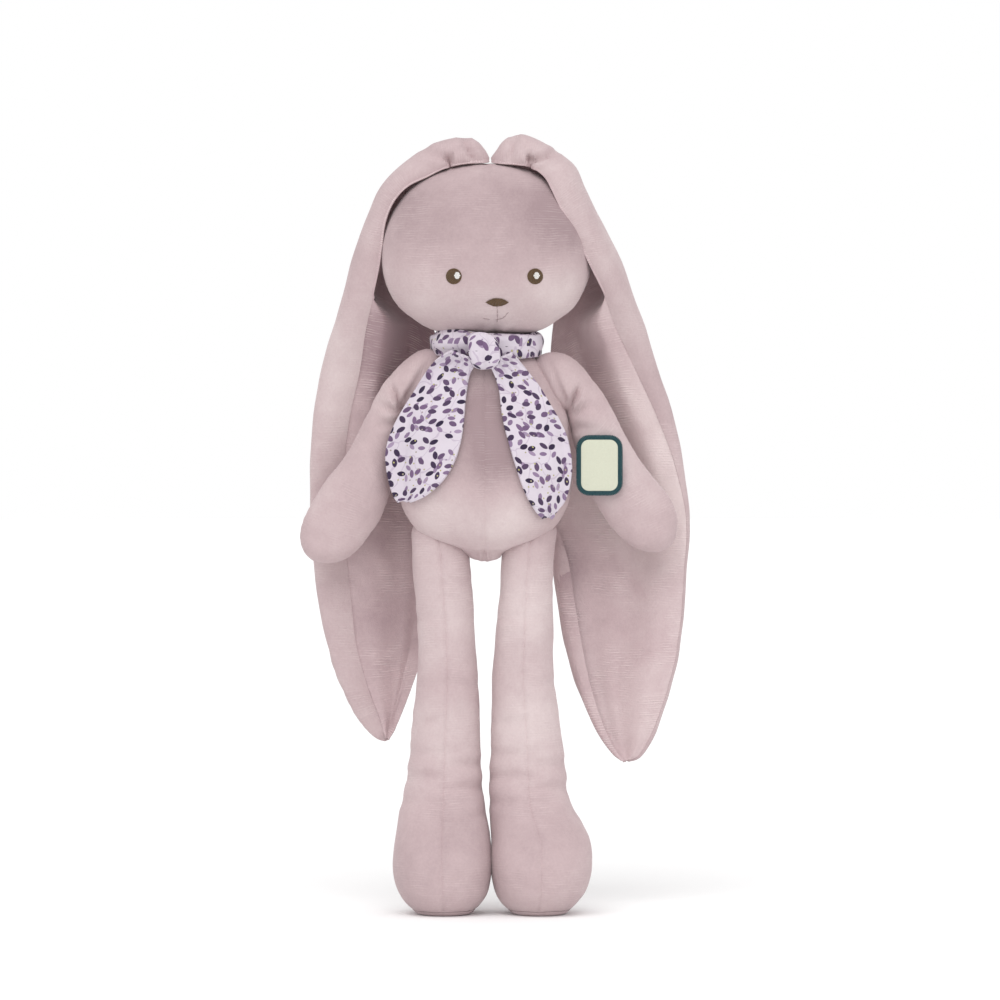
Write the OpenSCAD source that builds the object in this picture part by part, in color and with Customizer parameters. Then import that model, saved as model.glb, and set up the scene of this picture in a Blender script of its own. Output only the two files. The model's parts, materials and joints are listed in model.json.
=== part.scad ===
// Soft standing rabbit doll with long hanging ears, a tied neck scarf and a sewn side label.
// Millimetres. +Z is up, the face looks along -Y, and +X is the doll's own left.
// The origin is on the floor, at the middle of the doll's outline.
// Every stuffed part is a cover of sewn fabric panels around its own block of fibre filling.

/* [Legs and feet] */
// Height of the hip axis above the floor
leg_len = 152; // [125:1:185]
// Half depth of the thigh, which is also the radius of its round top
thigh_r = 12.5; // [10:0.5:15]
// Width of a thigh
thigh_w = 26; // [21:0.5:31]
// Width of a foot
foot_w = 44; // [36:0.5:53]
// Length of a foot, heel to toe
foot_len = 48; // [40:0.5:58]
// Distance between the middles of the thighs
hip_spacing = 36.4; // [32:0.2:44]
// Gap between the two feet
feet_gap = 0.8; // [0.6:0.1:6]
// Height of the sewn-in sole
sole_t = 4.8; // [4:0.1:6]

/* [Torso] */
// Width of the belly
torso_w = 79; // [66:1:95]
// Depth of the belly
torso_d = 42; // [35:1:48]
// Height of the torso
torso_h = 86.4; // [72:0.2:104]

/* [Head] */
// Width of the head across the cheeks
head_w = 94; // [78:1:113]
// Depth of the head
head_d = 64; // [53:1:76]
// Height of the head
head_h = 75; // [63:1:90]
// Diameter of an embroidered eye
eye_d = 7.4; // [5:0.1:9]
// Distance between the middles of the eyes
eye_spacing = 36; // [30:0.5:42]
// Width of the embroidered nose
nose_w = 10.2; // [8:0.1:13]
// Height of the embroidered nose
nose_h = 3.4; // [2.4:0.1:4.4]

/* [Neck] */
// Diameter of the gathered neck
neck_d = 14; // [11:0.5:17]
// Height of the gathered neck
neck_h = 9.2; // [7.6:0.1:11]

/* [Ears] */
// Drop of the right ear from its root to its tip
ear_right_drop = 266; // [222:1:300]
// Drop of the left ear from its root to its tip
ear_left_drop = 276; // [230:1:300]
// Greatest width of an ear
ear_w = 60; // [50:1:72]
// Thickness of one layer of an ear
ear_layer = 1.9; // [1.4:0.1:2.3]

/* [Arms] */
// Length of an arm from its pivot to its tip
arm_len = 92; // [77:1:110]
// Greatest width of an arm
arm_w = 26; // [21:0.5:31]
// Greatest depth of an arm
arm_d = 20; // [16:0.5:22]
// Radius of the round shoulder end
shoulder_r = 8; // [6.5:0.5:9.5]
// Slope of a hanging arm from straight down, in degrees
arm_slope = 28; // [24:1:40]

/* [Scarf and label] */
// Width of the scarf band across the neck
scarf_w = 51; // [44:0.5:58]
// Thickness of the rolled scarf band
scarf_roll = 6.2; // [5:0.1:7.4]
// Width of the knot
knot_w = 12.6; // [10:0.2:15]
// Drop of the right scarf tail
tail_right_drop = 60; // [50:1:72]
// Drop of the left scarf tail
tail_left_drop = 68; // [57:1:82]
// Thickness of a scarf tail
tail_t = 2.4; // [1.6:0.1:3]
// Width of the sewn side label
label_w = 20; // [16:0.5:24]
// Height of the sewn side label
label_h = 26.5; // [22:0.5:32]
// Thickness of the label's woven backing
label_t = 1.2; // [0.8:0.1:1.6]

/* [Fabric] */
// Thickness of the pile fabric
cover_t = 1.5; // [1.2:0.1:1.8]
// Gap left at a seam, and between a cover and its filling
seam_gap = 0.2; // [0.1:0.05:0.4]
// Gap between pieces that move past each other
move_gap = 1; // [0.6:0.1:1.6]

/* [Hidden] */

velour = [0.80, 0.70, 0.70];
velour_dark = [0.66, 0.54, 0.56];
filling = [0.96, 0.95, 0.92];
thread_brown = [0.36, 0.25, 0.14];
thread_white = [0.95, 0.95, 0.93];
thread_rose = [0.62, 0.48, 0.50];
scarf_cotton = [0.84, 0.78, 0.86];
label_teal = [0.10, 0.42, 0.42];
label_cream = [0.90, 0.88, 0.74];

// Points around a full section, and angle kept free at each side of a seam
around = 28;
seam_angle = 0.3;

// The doll stands a little off the middle of its own outline, because its ears hang unevenly
body_x = -3.4;
feet_x = -1.2;
torso_y = -2;
side_right = -1;
side_left = 1;

torso_z = leg_len + thigh_r + move_gap + 0.5;
torso_top = torso_z + torso_h;
neck_swing = 0.9;
neck_z = torso_top + neck_h / 2 + neck_swing;
head_z = neck_z + neck_h / 2 + neck_swing + 0.1;
head_top = head_z + head_h;

// Height, half width and half depth, as shares of the torso's own height, width and depth
torso_shape = [
    [0, 0.05, 0.05], [0.015, 0.40, 0.42], [0.06, 0.66, 0.68], [0.12, 0.84, 0.85], [0.20, 0.95, 0.95],
    [0.30, 1, 1], [0.45, 0.965, 1], [0.59, 0.89, 0.97], [0.71, 0.77, 0.90], [0.80, 0.67, 0.82],
    [0.89, 0.60, 0.72], [0.965, 0.51, 0.60], [0.99, 0.40, 0.46], [1, 0.05, 0.05]
];
torso_rows = [
    for (s = torso_shape)
        [torso_z + s[0] * torso_h, body_x, torso_y, s[1] * torso_w / 2, s[2] * torso_d / 2]
];

head_shape = [
    [0, 0.05], [0.01, 0.24], [0.025, 0.40], [0.05, 0.575], [0.09, 0.71], [0.145, 0.83], [0.235, 0.94],
    [0.34, 1], [0.44, 1], [0.56, 0.96], [0.69, 0.87], [0.81, 0.745], [0.90, 0.595], [0.96, 0.40],
    [0.99, 0.22], [1, 0.05]
];
head_rows = [
    for (s = head_shape) [head_z + s[0] * head_h, body_x, 0, s[1] * head_w / 2, s[1] * head_d / 2]
];
head_widths = [for (r = head_rows) [r[0], r[3]]];
head_depths = [for (r = head_rows) [r[0], r[4]]];

// The arm's own rows run down its length from the pivot: share of the length, width, depth
arm_shape = [
    [0.15, 0.34, 0.60], [0.30, 0.35, 0.76], [0.45, 0.40, 0.90], [0.60, 0.465, 1], [0.75, 0.5, 1],
    [0.86, 0.475, 0.94], [0.94, 0.36, 0.75], [0.985, 0.18, 0.40], [1, 0.03, 0.06]
];
shoulder_z = torso_top - 0.115 * torso_h;
torso_widths = [for (r = torso_rows) [r[0], r[3]]];
// The pivot is set out far enough for every row of the arm to clear the torso beside it
shoulder_x = max([
    for (s = concat([[0, shoulder_r / arm_w, 0]], arm_shape))
        let (
            down = s[0] * arm_len * cos(arm_slope) + s[1] * arm_w * sin(arm_slope),
            back = s[0] * arm_len * sin(arm_slope) - s[1] * arm_w * cos(arm_slope)
        )
        lookup(shoulder_z - down, torso_widths) - back
]) + move_gap;
arm_rows = concat(
    [
        for (a = [-88, -60, -35, -12])
            [shoulder_r * sin(a), 0, 0, shoulder_r * cos(a), 0.45 * arm_d * cos(a) * 0.9]
    ],
    [for (s = arm_shape) [s[0] * arm_len, 0, 0, s[1] * arm_w, s[2] * arm_d / 2]]
);

// The leg's rows run up from the sole seam: height, share of the way to the foot's width and length
heel_y = 13.5;
foot_y = heel_y - foot_len / 2;
leg_shape = [
    [sole_t, 0.72, 0.96], [12, 0.97, 1], [23, 1, 0.96], [35, 0.92, 0.70], [50, 0.62, 0.24],
    [62, 0.45, 0.08], [79, 0.32, 0.03], [107, 0.12, 0], [123, 0.03, 0]
];
leg_round = [for (a = [0, 25, 50, 70, 84]) a];

function leg_x(side, z) =
    lookup(z, [
        [sole_t, feet_x + side * (foot_w + feet_gap) / 2],
        [23, feet_x + side * (foot_w + feet_gap) / 2],
        [leg_len * 0.72, body_x + side * hip_spacing / 2 * 0.98],
        [leg_len, body_x + side * hip_spacing / 2]
    ]);
function leg_rows(side) = concat(
    [
        for (s = leg_shape) [
            s[0],
            leg_x(side, s[0]),
            s[2] * foot_y,
            (thigh_w + s[1] * (foot_w - thigh_w)) / 2,
            thigh_r + s[2] * (foot_len / 2 - thigh_r)
        ]
    ],
    [
        for (a = leg_round) [
            leg_len + thigh_r * sin(a),
            leg_x(side, leg_len),
            0,
            thigh_w / 2 * (0.35 + 0.65 * cos(a)),
            thigh_r * cos(a)
        ]
    ]
);

// Ear path from root to tip: out from the root, back, share of the drop, twist, share of the width.
// The twist is 90 degrees where the ear lies edge-on beside the head, and near 0 where it hangs.
// The outward and backward numbers are laid out for a head of this width and depth, and grow with it.
ear_root_x = 6.5;
ear_spread = head_w / 94;
ear_deep = head_d / 64;
ear_root_z = head_top + 3.6;
ear_path_right = [
    [0, 2, 0.005, 90, 0.27], [4, 3, -0.015, 90, 0.32], [12, 4.5, -0.016, 86, 0.37],
    [21.5, 6, -0.002, 80, 0.42], [32, 8, 0.030, 72, 0.45], [39.5, 9.5, 0.083, 66, 0.48],
    [45.5, 10.5, 0.135, 63, 0.50], [49, 11.5, 0.180, 60, 0.52], [51.5, 13.5, 0.233, 55, 0.55],
    [52, 16.5, 0.286, 42, 0.60], [50.5, 20.5, 0.338, 24, 0.69], [47.5, 23.5, 0.400, 10, 0.82],
    [45.5, 24.5, 0.477, 4, 0.94], [44.7, 24.8, 0.571, 2, 0.99], [44.2, 24.8, 0.684, 2, 0.945],
    [44, 24.5, 0.786, 2, 0.835], [43.7, 24, 0.865, 2, 0.66], [43.8, 24, 0.910, 2, 0.50],
    [43, 24, 0.955, 2, 0.33], [41.5, 24, 0.985, 2, 0.18], [40.5, 24, 1, 2, 0.06]
];
ear_path_left = [
    [0, 2, 0.005, 90, 0.27], [4.5, 3, -0.015, 90, 0.32], [13, 4.5, -0.016, 86, 0.37],
    [22.5, 6, -0.002, 80, 0.42], [30.5, 8, 0.029, 72, 0.45], [36.5, 9.5, 0.080, 68, 0.48],
    [42, 10.5, 0.130, 66, 0.50], [46.5, 11.5, 0.174, 62, 0.52], [49.5, 13.5, 0.225, 55, 0.55],
    [51, 16.5, 0.275, 42, 0.60], [51, 20.5, 0.326, 24, 0.70], [49, 23.5, 0.384, 10, 0.84],
    [50.6, 24.5, 0.460, 4, 0.95], [52.8, 24.8, 0.551, 2, 1.02], [54.4, 24.8, 0.659, 2, 1.01],
    [54.7, 24.5, 0.757, 2, 0.93], [55.9, 24, 0.833, 2, 0.80], [56.5, 24, 0.877, 2, 0.67],
    [56.5, 24, 0.931, 2, 0.50], [57.8, 24, 0.971, 2, 0.31], [58.5, 24, 1, 2, 0.08]
];

// Scarf: an elliptical roll around the neck, with a knot in front and two tails under it
scarf_z = torso_top + scarf_roll / 2 + 0.4;
scarf_rx = scarf_w / 2 - scarf_roll / 2;
scarf_ry = neck_d / 2 + scarf_roll / 2 + 6;
knot_x = -4.5;
knot_h = 11.6;
knot_y = -scarf_ry - scarf_roll / 2 - seam_gap - knot_w / 2 * 0.8;
tail_z = scarf_z + 4.6 - knot_h - tail_t / 2 - 0.6;
tail_y = torso_y - torso_d / 2 - tail_t / 2 - move_gap;

// Share of the drop, middle across from the knot, half width
tail_shape_right = [
    [0, -13.5, 5.5], [0.10, -17.8, 9.6], [0.24, -21, 12.5], [0.50, -26.1, 16.3], [0.65, -28.2, 16.2],
    [0.79, -29.9, 13.6], [0.92, -32.5, 9], [1, -35.2, 3.8]
];
tail_shape_left = [
    [0, 9.5, 3.5], [0.10, 14.6, 7.6], [0.22, 18.1, 10.4], [0.37, 21.9, 12.5], [0.56, 26, 13],
    [0.69, 27.5, 12], [0.82, 28.5, 9.5], [0.94, 28.7, 5.2], [1, 28.5, 1.5]
];

label_x = body_x + torso_w / 2 + label_t / 2 + 0.8;
label_y = -arm_d / 2 - label_t / 2 - move_gap - 1.4;
label_z = torso_z + 0.27 * torso_h;

// ---------- shapes ----------

// One point of a section row [height, middle x, middle y, half width, half depth]
function on_row(row, angle) =
    [row[1] + row[3] * cos(angle), row[2] + row[4] * sin(angle), row[0]];

// The rows moved in by t, also from the ends that are closed
function inset(rows, t, close_low = true, close_high = true) =
    let (
        low = rows[0][0] + (close_low ? t : 0),
        high = rows[len(rows) - 1][0] - (close_high ? t : 0)
    )
    [
        for (r = rows)
            [min(max(r[0], low), high), r[1], r[2], max(r[3] - t, 0.3), max(r[4] - t, 0.3)]
    ];

// Two triangles for each cell of a grid of points, whose second index runs fastest
function grid_faces(rows, columns, first, flip) = [
    for (i = [0 : rows - 2], j = [0 : columns - 2])
        let (
            a = first + i * columns + j,
            b = a + 1,
            c = a + columns,
            d = c + 1
        )
        each (flip ? [[a, c, b], [b, c, d]] : [[a, b, c], [b, d, c]])
];

// A closed solid through rows of equal length, as a stack of rings. Turned rings run the other
// way round, and each of their cells is then cut along its other diagonal.
module stack(rings, turned = false) {
    n = len(rings[0]);
    last = (len(rings) - 1) * n;
    sides = [
        for (i = [0 : len(rings) - 2], j = [0 : n - 1])
            let (
                a = i * n + j,
                b = i * n + (j + 1) % n,
                c = a + n,
                d = b + n
            )
            each (turned ? [[a, c, d], [a, d, b]] : [[a, c, b], [b, c, d]])
    ];
    polyhedron(
        points = [for (ring = rings) each ring],
        faces = concat(
            [[for (j = [0 : n - 1]) j]],
            sides,
            [[for (j = [n - 1 : -1 : 0]) last + j]]
        )
    );
}

// A solid block that fills the rows
module block(rows) {
    stack([for (r = rows) [for (k = [0 : around - 1]) on_row(r, k * 360 / around)]]);
}

// A fabric panel: the part of a hollow cover between two angles
module panel(rows, from, to, close_low = true, close_high = true) {
    steps = round(around * (to - from) / 360);
    columns = steps + 1;
    inner = inset(rows, cover_t, close_low, close_high);
    angles = [
        for (k = [0 : steps])
            from + seam_angle + (to - from - 2 * seam_angle) * k / steps
    ];
    count = len(rows);
    skin = [for (r = rows, a = angles) on_row(r, a)];
    lining = [for (r = inner, a = angles) on_row(r, a)];
    size = count * columns;
    low = [
        for (j = [0 : columns - 2])
            each [[j, j + 1, size + j], [j + 1, size + j + 1, size + j]]
    ];
    up = (count - 1) * columns;
    high = [
        for (j = [0 : columns - 2])
            each [[up + j, size + up + j, up + j + 1], [up + j + 1, size + up + j, size + up + j + 1]]
    ];
    start = [
        for (i = [0 : count - 2])
            let (a = i * columns, b = a + columns)
            each [[a, size + a, b], [b, size + a, size + b]]
    ];
    end = [
        for (i = [0 : count - 2])
            let (a = i * columns + steps, b = a + columns)
            each [[a, b, size + a], [b, size + b, size + a]]
    ];
    polyhedron(
        points = concat(skin, lining),
        faces = concat(
            grid_faces(count, columns, 0, true),
            grid_faces(count, columns, size, false),
            low, high, start, end
        )
    );
}

// The filling inside a cover
module stuffing(rows, close_low = true, close_high = true) {
    color(filling) block(inset(rows, cover_t + seam_gap, close_low, close_high));
}

function unit(v) = v / norm(v);

// ---------- torso and neck ----------

module torso_front_right() {
    color(velour) panel(torso_rows, 180, 270);
}

module torso_front_left() {
    color(velour) panel(torso_rows, 270, 360);
}

module torso_back() {
    color(velour) panel(torso_rows, 0, 180);
}

module torso_stuffing() {
    stuffing(torso_rows);
}

// The short gathered neck that the head tips and nods on
module neck_gather() {
    color(velour_dark)
        translate([body_x, 0, neck_z])
            rotate_extrude($fn = 48)
                polygon([
                    [0, -neck_h / 2], [neck_d / 4, -neck_h / 2], [neck_d / 2, -neck_h / 4],
                    [neck_d / 2, neck_h / 4], [neck_d / 4, neck_h / 2], [0, neck_h / 2]
                ]);
}

// ---------- head ----------

module head_front() {
    color(velour) panel(head_rows, 180, 360);
}

module head_back() {
    color(velour) panel(head_rows, 0, 180);
}

module head_stuffing() {
    stuffing(head_rows);
}

face_x = 0.2;
eye_z = head_z + 0.32 * head_h;
nose_z = head_z + 0.17 * head_h;
thread_t = 0.8;

// Lays embroidery flat on the face at a given place across and up
module on_face(x, z, lift = 0.35) {
    across = (x - body_x) / lookup(z, head_widths);
    deep = lookup(z, head_depths) * sqrt(1 - across * across);
    lean = atan(lookup(z, head_depths) / lookup(z, head_widths) * across / sqrt(1 - across * across));
    below = lookup(z - 4, head_depths) - lookup(z + 4, head_depths);
    translate([x, -deep, z])
        rotate([0, 0, lean])
            rotate([90 - atan(below / 8), 0, 0])
                translate([0, 0, lift])
                    children();
}

module eye(side) {
    color(thread_brown)
        on_face(face_x + side * eye_spacing / 2, eye_z)
            cylinder(h = thread_t, d = eye_d, $fn = 48);
}

module eye_glint(side, shift) {
    color(thread_white)
        on_face(face_x + side * eye_spacing / 2, eye_z, 0.4 + thread_t)
            translate([shift, 0.4, 0])
                cylinder(h = 0.4, d = 0.32 * eye_d, $fn = 32);
}

module eye_right() {
    eye(side_right);
}

module eye_left() {
    eye(side_left);
}

module eye_glint_right() {
    eye_glint(side_right, 1.6);
}

module eye_glint_left() {
    eye_glint(side_left, 0.8);
}

// A spindle where two large discs cross
module nose() {
    arc_r = (nose_w * nose_w / 4 + nose_h * nose_h / 4) / nose_h;
    color(thread_brown)
        on_face(face_x + 1.2, nose_z, 0.45)
            intersection() {
                translate([0, nose_h / 2 - arc_r, 0])
                    cylinder(h = thread_t, r = arc_r, $fn = 96);
                translate([0, arc_r - nose_h / 2, 0])
                    cylinder(h = thread_t, r = arc_r, $fn = 96);
            }
}

// One upright stitch and a short cross stitch under the nose
module mouth_stitches() {
    stitch = 0.7;
    color(thread_rose)
        on_face(face_x + 1.6, nose_z - nose_h / 2 - 4.2, 1)
            union() {
                translate([-stitch / 2, -3, 0])
                    cube([stitch, 6, stitch]);
                translate([-3, -stitch - 1, 0])
                    cube([6, stitch, stitch]);
            }
}

// ---------- ears ----------

// One layer of an ear, a flat section carried along the ear's path
module ear_layer_solid(side, path, drop, front) {
    root_x = body_x + 1 + side * ear_root_x;
    middles = [
        for (p = path) [root_x + side * p[0] * ear_spread, p[1] * ear_deep, ear_root_z - p[2] * drop]
    ];
    last = len(path) - 1;
    near = seam_gap / 2;
    reach = near + ear_layer;
    rings = [
        for (i = [0 : last])
            let (
                along = unit(middles[min(i + 1, last)] - middles[max(i - 1, 0)]),
                flat_dir = [-side * cos(path[i][3]), sin(path[i][3]), 0],
                wide = unit(flat_dir - (flat_dir * along) * along),
                thick = cross(along, wide),
                // the thickness always points to the doll's outer, front side
                out = side * thick,
                half = path[i][4] * ear_w / 2,
                face = front ? 1 : -1,
                ease = min(half / 4, 3)
            )
            [
                for (q = [
                    [-half, reach / 2], [-half + ease, near * 1.2], [0, near],
                    [half - ease, near * 1.2], [half, reach / 2], [half - ease, reach * 0.9],
                    [0, reach], [-half + ease, reach * 0.9]
                ])
                    middles[i] + q[0] * wide + face * q[1] * out
            ]
    ];
    forward = front == (side > 0);
    stack(forward ? rings : [for (r = rings) [for (k = [len(r) - 1 : -1 : 0]) r[k]]], !forward);
}

module ear_right_outer() {
    color(velour) ear_layer_solid(side_right, ear_path_right, ear_right_drop, false);
}

module ear_right_lining() {
    color(velour_dark) ear_layer_solid(side_right, ear_path_right, ear_right_drop, true);
}

module ear_left_outer() {
    color(velour) ear_layer_solid(side_left, ear_path_left, ear_left_drop, true);
}

module ear_left_lining() {
    color(velour_dark) ear_layer_solid(side_left, ear_path_left, ear_left_drop, false);
}

// ---------- arms ----------

// Turns an arm's own frame, which runs up from its pivot, to hang from the shoulder
module at_shoulder(side) {
    translate([body_x + side * shoulder_x, 0, shoulder_z])
        rotate([0, 180 - side * arm_slope, 0])
            children();
}

module arm_panel(side, from, to) {
    color(velour) at_shoulder(side) panel(arm_rows, from, to);
}

module arm_right_front() {
    arm_panel(side_right, 180, 360);
}

module arm_right_back() {
    arm_panel(side_right, 0, 180);
}

module arm_right_stuffing() {
    at_shoulder(side_right) stuffing(arm_rows);
}

module arm_left_front() {
    arm_panel(side_left, 180, 360);
}

module arm_left_back() {
    arm_panel(side_left, 0, 180);
}

module arm_left_stuffing() {
    at_shoulder(side_left) stuffing(arm_rows);
}

// ---------- legs ----------

module leg_panel(side, from, to) {
    color(velour) panel(leg_rows(side), from, to, false, true);
}

// A flat sole with the outline of the leg's lowest row
module leg_sole(side) {
    foot = leg_rows(side)[0];
    color(velour)
        linear_extrude(height = sole_t - seam_gap)
            polygon([
                for (k = [0 : around - 1])
                    let (p = on_row(foot, k * 360 / around)) [p[0], p[1]]
            ]);
}

module leg_right_outer() {
    leg_panel(side_right, 90, 270);
}

module leg_right_inner() {
    leg_panel(side_right, -90, 90);
}

module leg_right_sole() {
    leg_sole(side_right);
}

module leg_right_stuffing() {
    stuffing(leg_rows(side_right), false, true);
}

module leg_left_outer() {
    leg_panel(side_left, -90, 90);
}

module leg_left_inner() {
    leg_panel(side_left, 90, 270);
}

module leg_left_sole() {
    leg_sole(side_left);
}

module leg_left_stuffing() {
    stuffing(leg_rows(side_left), false, true);
}

// ---------- scarf ----------

// The rolled band, as an elliptical ring; its last section meets its first
module scarf_band() {
    turns = 32;
    sides = 10;
    points = [
        for (i = [0 : turns - 1], k = [0 : sides - 1])
            let (
                a = i * 360 / turns,
                b = k * 360 / sides,
                reach = scarf_roll / 2 * cos(b)
            )
            [
                body_x + (scarf_rx + reach) * cos(a),
                (scarf_ry + reach) * sin(a),
                scarf_z + scarf_roll / 2 * sin(b)
            ]
    ];
    faces = [
        for (i = [0 : turns - 1], k = [0 : sides - 1])
            let (
                a = i * sides + k,
                b = i * sides + (k + 1) % sides,
                c = ((i + 1) % turns) * sides + k,
                d = ((i + 1) % turns) * sides + (k + 1) % sides
            )
            each [[a, b, c], [b, d, c]]
    ];
    color(scarf_cotton) polyhedron(points = points, faces = faces);
}

// The knot, upright in front of the band
module scarf_knot() {
    r = knot_w / 2 * 0.8;
    color(scarf_cotton)
        translate([knot_x, knot_y, scarf_z + 4.6 - knot_h])
            rotate_extrude($fn = 48)
                polygon([
                    [0, 0], [r * 0.7, 0], [r * 0.96, knot_h * 0.2], [r, knot_h / 2],
                    [r * 0.96, knot_h * 0.8], [r * 0.7, knot_h], [0, knot_h]
                ]);
}

// A scarf tail: a thin leaf-shaped plate hanging in front of the belly
module scarf_tail(shape, drop) {
    half = tail_t / 2;
    rings = [
        for (s = [for (k = [len(shape) - 1 : -1 : 0]) shape[k]])
            let (z = tail_z - s[0] * drop, x = knot_x + s[1], ease = s[2] * 0.75)
            [
                [x - s[2], tail_y, z], [x - ease, tail_y - 0.85 * half, z], [x, tail_y - half, z],
                [x + ease, tail_y - 0.85 * half, z], [x + s[2], tail_y, z],
                [x + ease, tail_y + 0.85 * half, z], [x, tail_y + half, z],
                [x - ease, tail_y + 0.85 * half, z]
            ]
    ];
    color(scarf_cotton) stack(rings);
}

module scarf_tail_right() {
    scarf_tail(tail_shape_right, tail_right_drop);
}

module scarf_tail_left() {
    scarf_tail(tail_shape_left, tail_left_drop);
}

// ---------- label ----------

// A rounded plate standing in front of the arm, from the torso's side seam
module label_plate(margin, thick, forward) {
    r = 4 - margin / 2;
    w = label_w - 2 * margin;
    h = label_h - 2 * margin;
    translate([label_x + margin, label_y - forward, label_z + margin])
        rotate([90, 0, 0])
            union() {
                translate([r, 0, 0])
                    cube([w - 2 * r, h, thick]);
                translate([0, r, 0])
                    cube([w, h - 2 * r, thick]);
                for (x = [r, w - r], y = [r, h - r])
                    translate([x, y, 0])
                        cylinder(h = thick, r = r, $fn = 32);
            }
}

module label_backing() {
    color(label_teal) label_plate(0, label_t, -label_t / 2);
}

module label_face() {
    color(label_cream) label_plate(1.6, 0.4, label_t / 2);
}

torso_front_right();
torso_front_left();
torso_back();
torso_stuffing();
neck_gather();
head_front();
head_back();
head_stuffing();
eye_right();
eye_left();
eye_glint_right();
eye_glint_left();
nose();
mouth_stitches();
ear_right_outer();
ear_right_lining();
ear_left_outer();
ear_left_lining();
arm_right_front();
arm_right_back();
arm_right_stuffing();
arm_left_front();
arm_left_back();
arm_left_stuffing();
leg_right_outer();
leg_right_inner();
leg_right_sole();
leg_right_stuffing();
leg_left_outer();
leg_left_inner();
leg_left_sole();
leg_left_stuffing();
scarf_band();
scarf_knot();
scarf_tail_right();
scarf_tail_left();
label_backing();
label_face();
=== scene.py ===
# %% [markdown]
# # A long-eared stuffed rabbit in velour
#
# The doll is sewn from thin pile fabric over fibre filling. Its look comes from three things: soft
# forms that swell between their seams, ears that fold like heavy cloth, and a short pile that
# turns darker or lighter as it is brushed. The lesson builds one of these at a time on the frame
# that the CAD model gives.

# %% Frame
import json
import math
import bpy
import numpy as np
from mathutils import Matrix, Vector, noise


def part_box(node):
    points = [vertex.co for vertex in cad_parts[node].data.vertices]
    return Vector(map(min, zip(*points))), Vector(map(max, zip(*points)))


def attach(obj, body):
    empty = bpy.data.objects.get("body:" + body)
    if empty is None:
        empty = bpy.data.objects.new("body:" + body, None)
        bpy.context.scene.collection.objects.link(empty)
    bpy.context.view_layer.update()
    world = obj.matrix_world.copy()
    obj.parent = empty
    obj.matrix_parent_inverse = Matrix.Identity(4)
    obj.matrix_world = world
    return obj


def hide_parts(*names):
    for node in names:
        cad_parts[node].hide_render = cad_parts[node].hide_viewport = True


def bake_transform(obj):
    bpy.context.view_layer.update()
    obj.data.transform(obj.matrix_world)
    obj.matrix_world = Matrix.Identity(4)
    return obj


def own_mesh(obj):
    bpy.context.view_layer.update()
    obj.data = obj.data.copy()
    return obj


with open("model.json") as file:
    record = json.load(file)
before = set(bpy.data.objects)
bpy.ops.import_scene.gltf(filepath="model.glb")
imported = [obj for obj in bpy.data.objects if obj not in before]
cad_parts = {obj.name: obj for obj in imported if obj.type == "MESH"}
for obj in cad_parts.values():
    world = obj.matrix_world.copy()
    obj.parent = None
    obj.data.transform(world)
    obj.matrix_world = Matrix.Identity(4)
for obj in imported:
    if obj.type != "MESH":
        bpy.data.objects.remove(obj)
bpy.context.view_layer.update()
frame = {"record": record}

MM = 0.001


# %% [markdown]
# ## Helpers for node trees
#
# Every finish below is a small tree of shader nodes. Two short helpers keep the code readable:
# one adds a node and sets its plain values, the other links two sockets.

# %% Node helpers
def add(tree, kind, values=None, **settings):
    """A new node, with its properties and the plain values of its inputs set."""
    node = tree.nodes.new(kind)
    for name, value in settings.items():
        setattr(node, name, value)
    for name, value in (values or {}).items():
        node.inputs[name].default_value = value
    return node


def maths(tree, operation, a, b=None, c=None, clamp=False):
    """A Math node, whose inputs are numbers or other sockets."""
    node = add(tree, "ShaderNodeMath", operation=operation, use_clamp=clamp)
    for socket, value in zip(node.inputs, (a, b, c)):
        if value is None:
            continue
        if isinstance(value, (int, float)):
            socket.default_value = value
        else:
            tree.links.new(value, socket)
    return node.outputs[0]


def group(name, inputs, outputs):
    """A shader node group with named sockets, its input node and its output node."""
    tree = bpy.data.node_groups.new(name, "ShaderNodeTree")
    for label, kind, value in inputs:
        socket = tree.interface.new_socket(label, in_out="INPUT", socket_type=kind)
        if value is not None:
            socket.default_value = value
    for label, kind in outputs:
        tree.interface.new_socket(label, in_out="OUTPUT", socket_type=kind)
    return tree, tree.nodes.new("NodeGroupInput"), tree.nodes.new("NodeGroupOutput")


def place(tree, made, vector, values=None):
    """The group as a node in a material, fed with a vector."""
    node = add(tree, "ShaderNodeGroup", node_tree=made)
    for name, value in (values or {}).items():
        node.inputs[name].default_value = value
    tree.links.new(vector, node.inputs["Vector"])
    return node


# %% [markdown]
# ## Pile
#
# Velour is a knit with a cut pile about a millimetre high. Where the pile lies towards the light
# it looks paler, and where it is brushed the other way it looks deeper, in patches a few
# centimetres wide with soft edges. Close up, the pile is a fine fuzz. One group makes both: two
# slow noises for the patches, and two fast ones for the fuzz.

# %% Pile group
FLOAT, COLOR, VECTOR = "NodeSocketFloat", "NodeSocketColor", "NodeSocketVector"

pile, pile_in, pile_out = group(
    "pile",
    [
        ("Vector", VECTOR, None),
        ("Patch size", FLOAT, 0.02),
        ("Contrast", FLOAT, 1.0),
        ("Nap and painted light", FLOAT, 0.0),
        ("Deep", COLOR, (0.5, 0.3, 0.33, 1)),
        ("Mid", COLOR, (0.6, 0.4, 0.43, 1)),
        ("Pale", COLOR, (0.7, 0.5, 0.53, 1)),
    ],
    [("Color", COLOR), ("Fuzz", FLOAT), ("Lie and painted light", FLOAT)],
)
scale = maths(pile, "DIVIDE", 1.0, pile_in.outputs["Patch size"])
patches = add(pile, "ShaderNodeTexNoise", {"Detail": 2.0, "Roughness": 0.45, "Distortion": 0.6})
pile.links.new(pile_in.outputs["Vector"], patches.inputs["Vector"])
pile.links.new(scale, patches.inputs["Scale"])
specks = add(pile, "ShaderNodeTexNoise", {"Scale": 900.0, "Detail": 3.0, "Roughness": 0.65})
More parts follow.
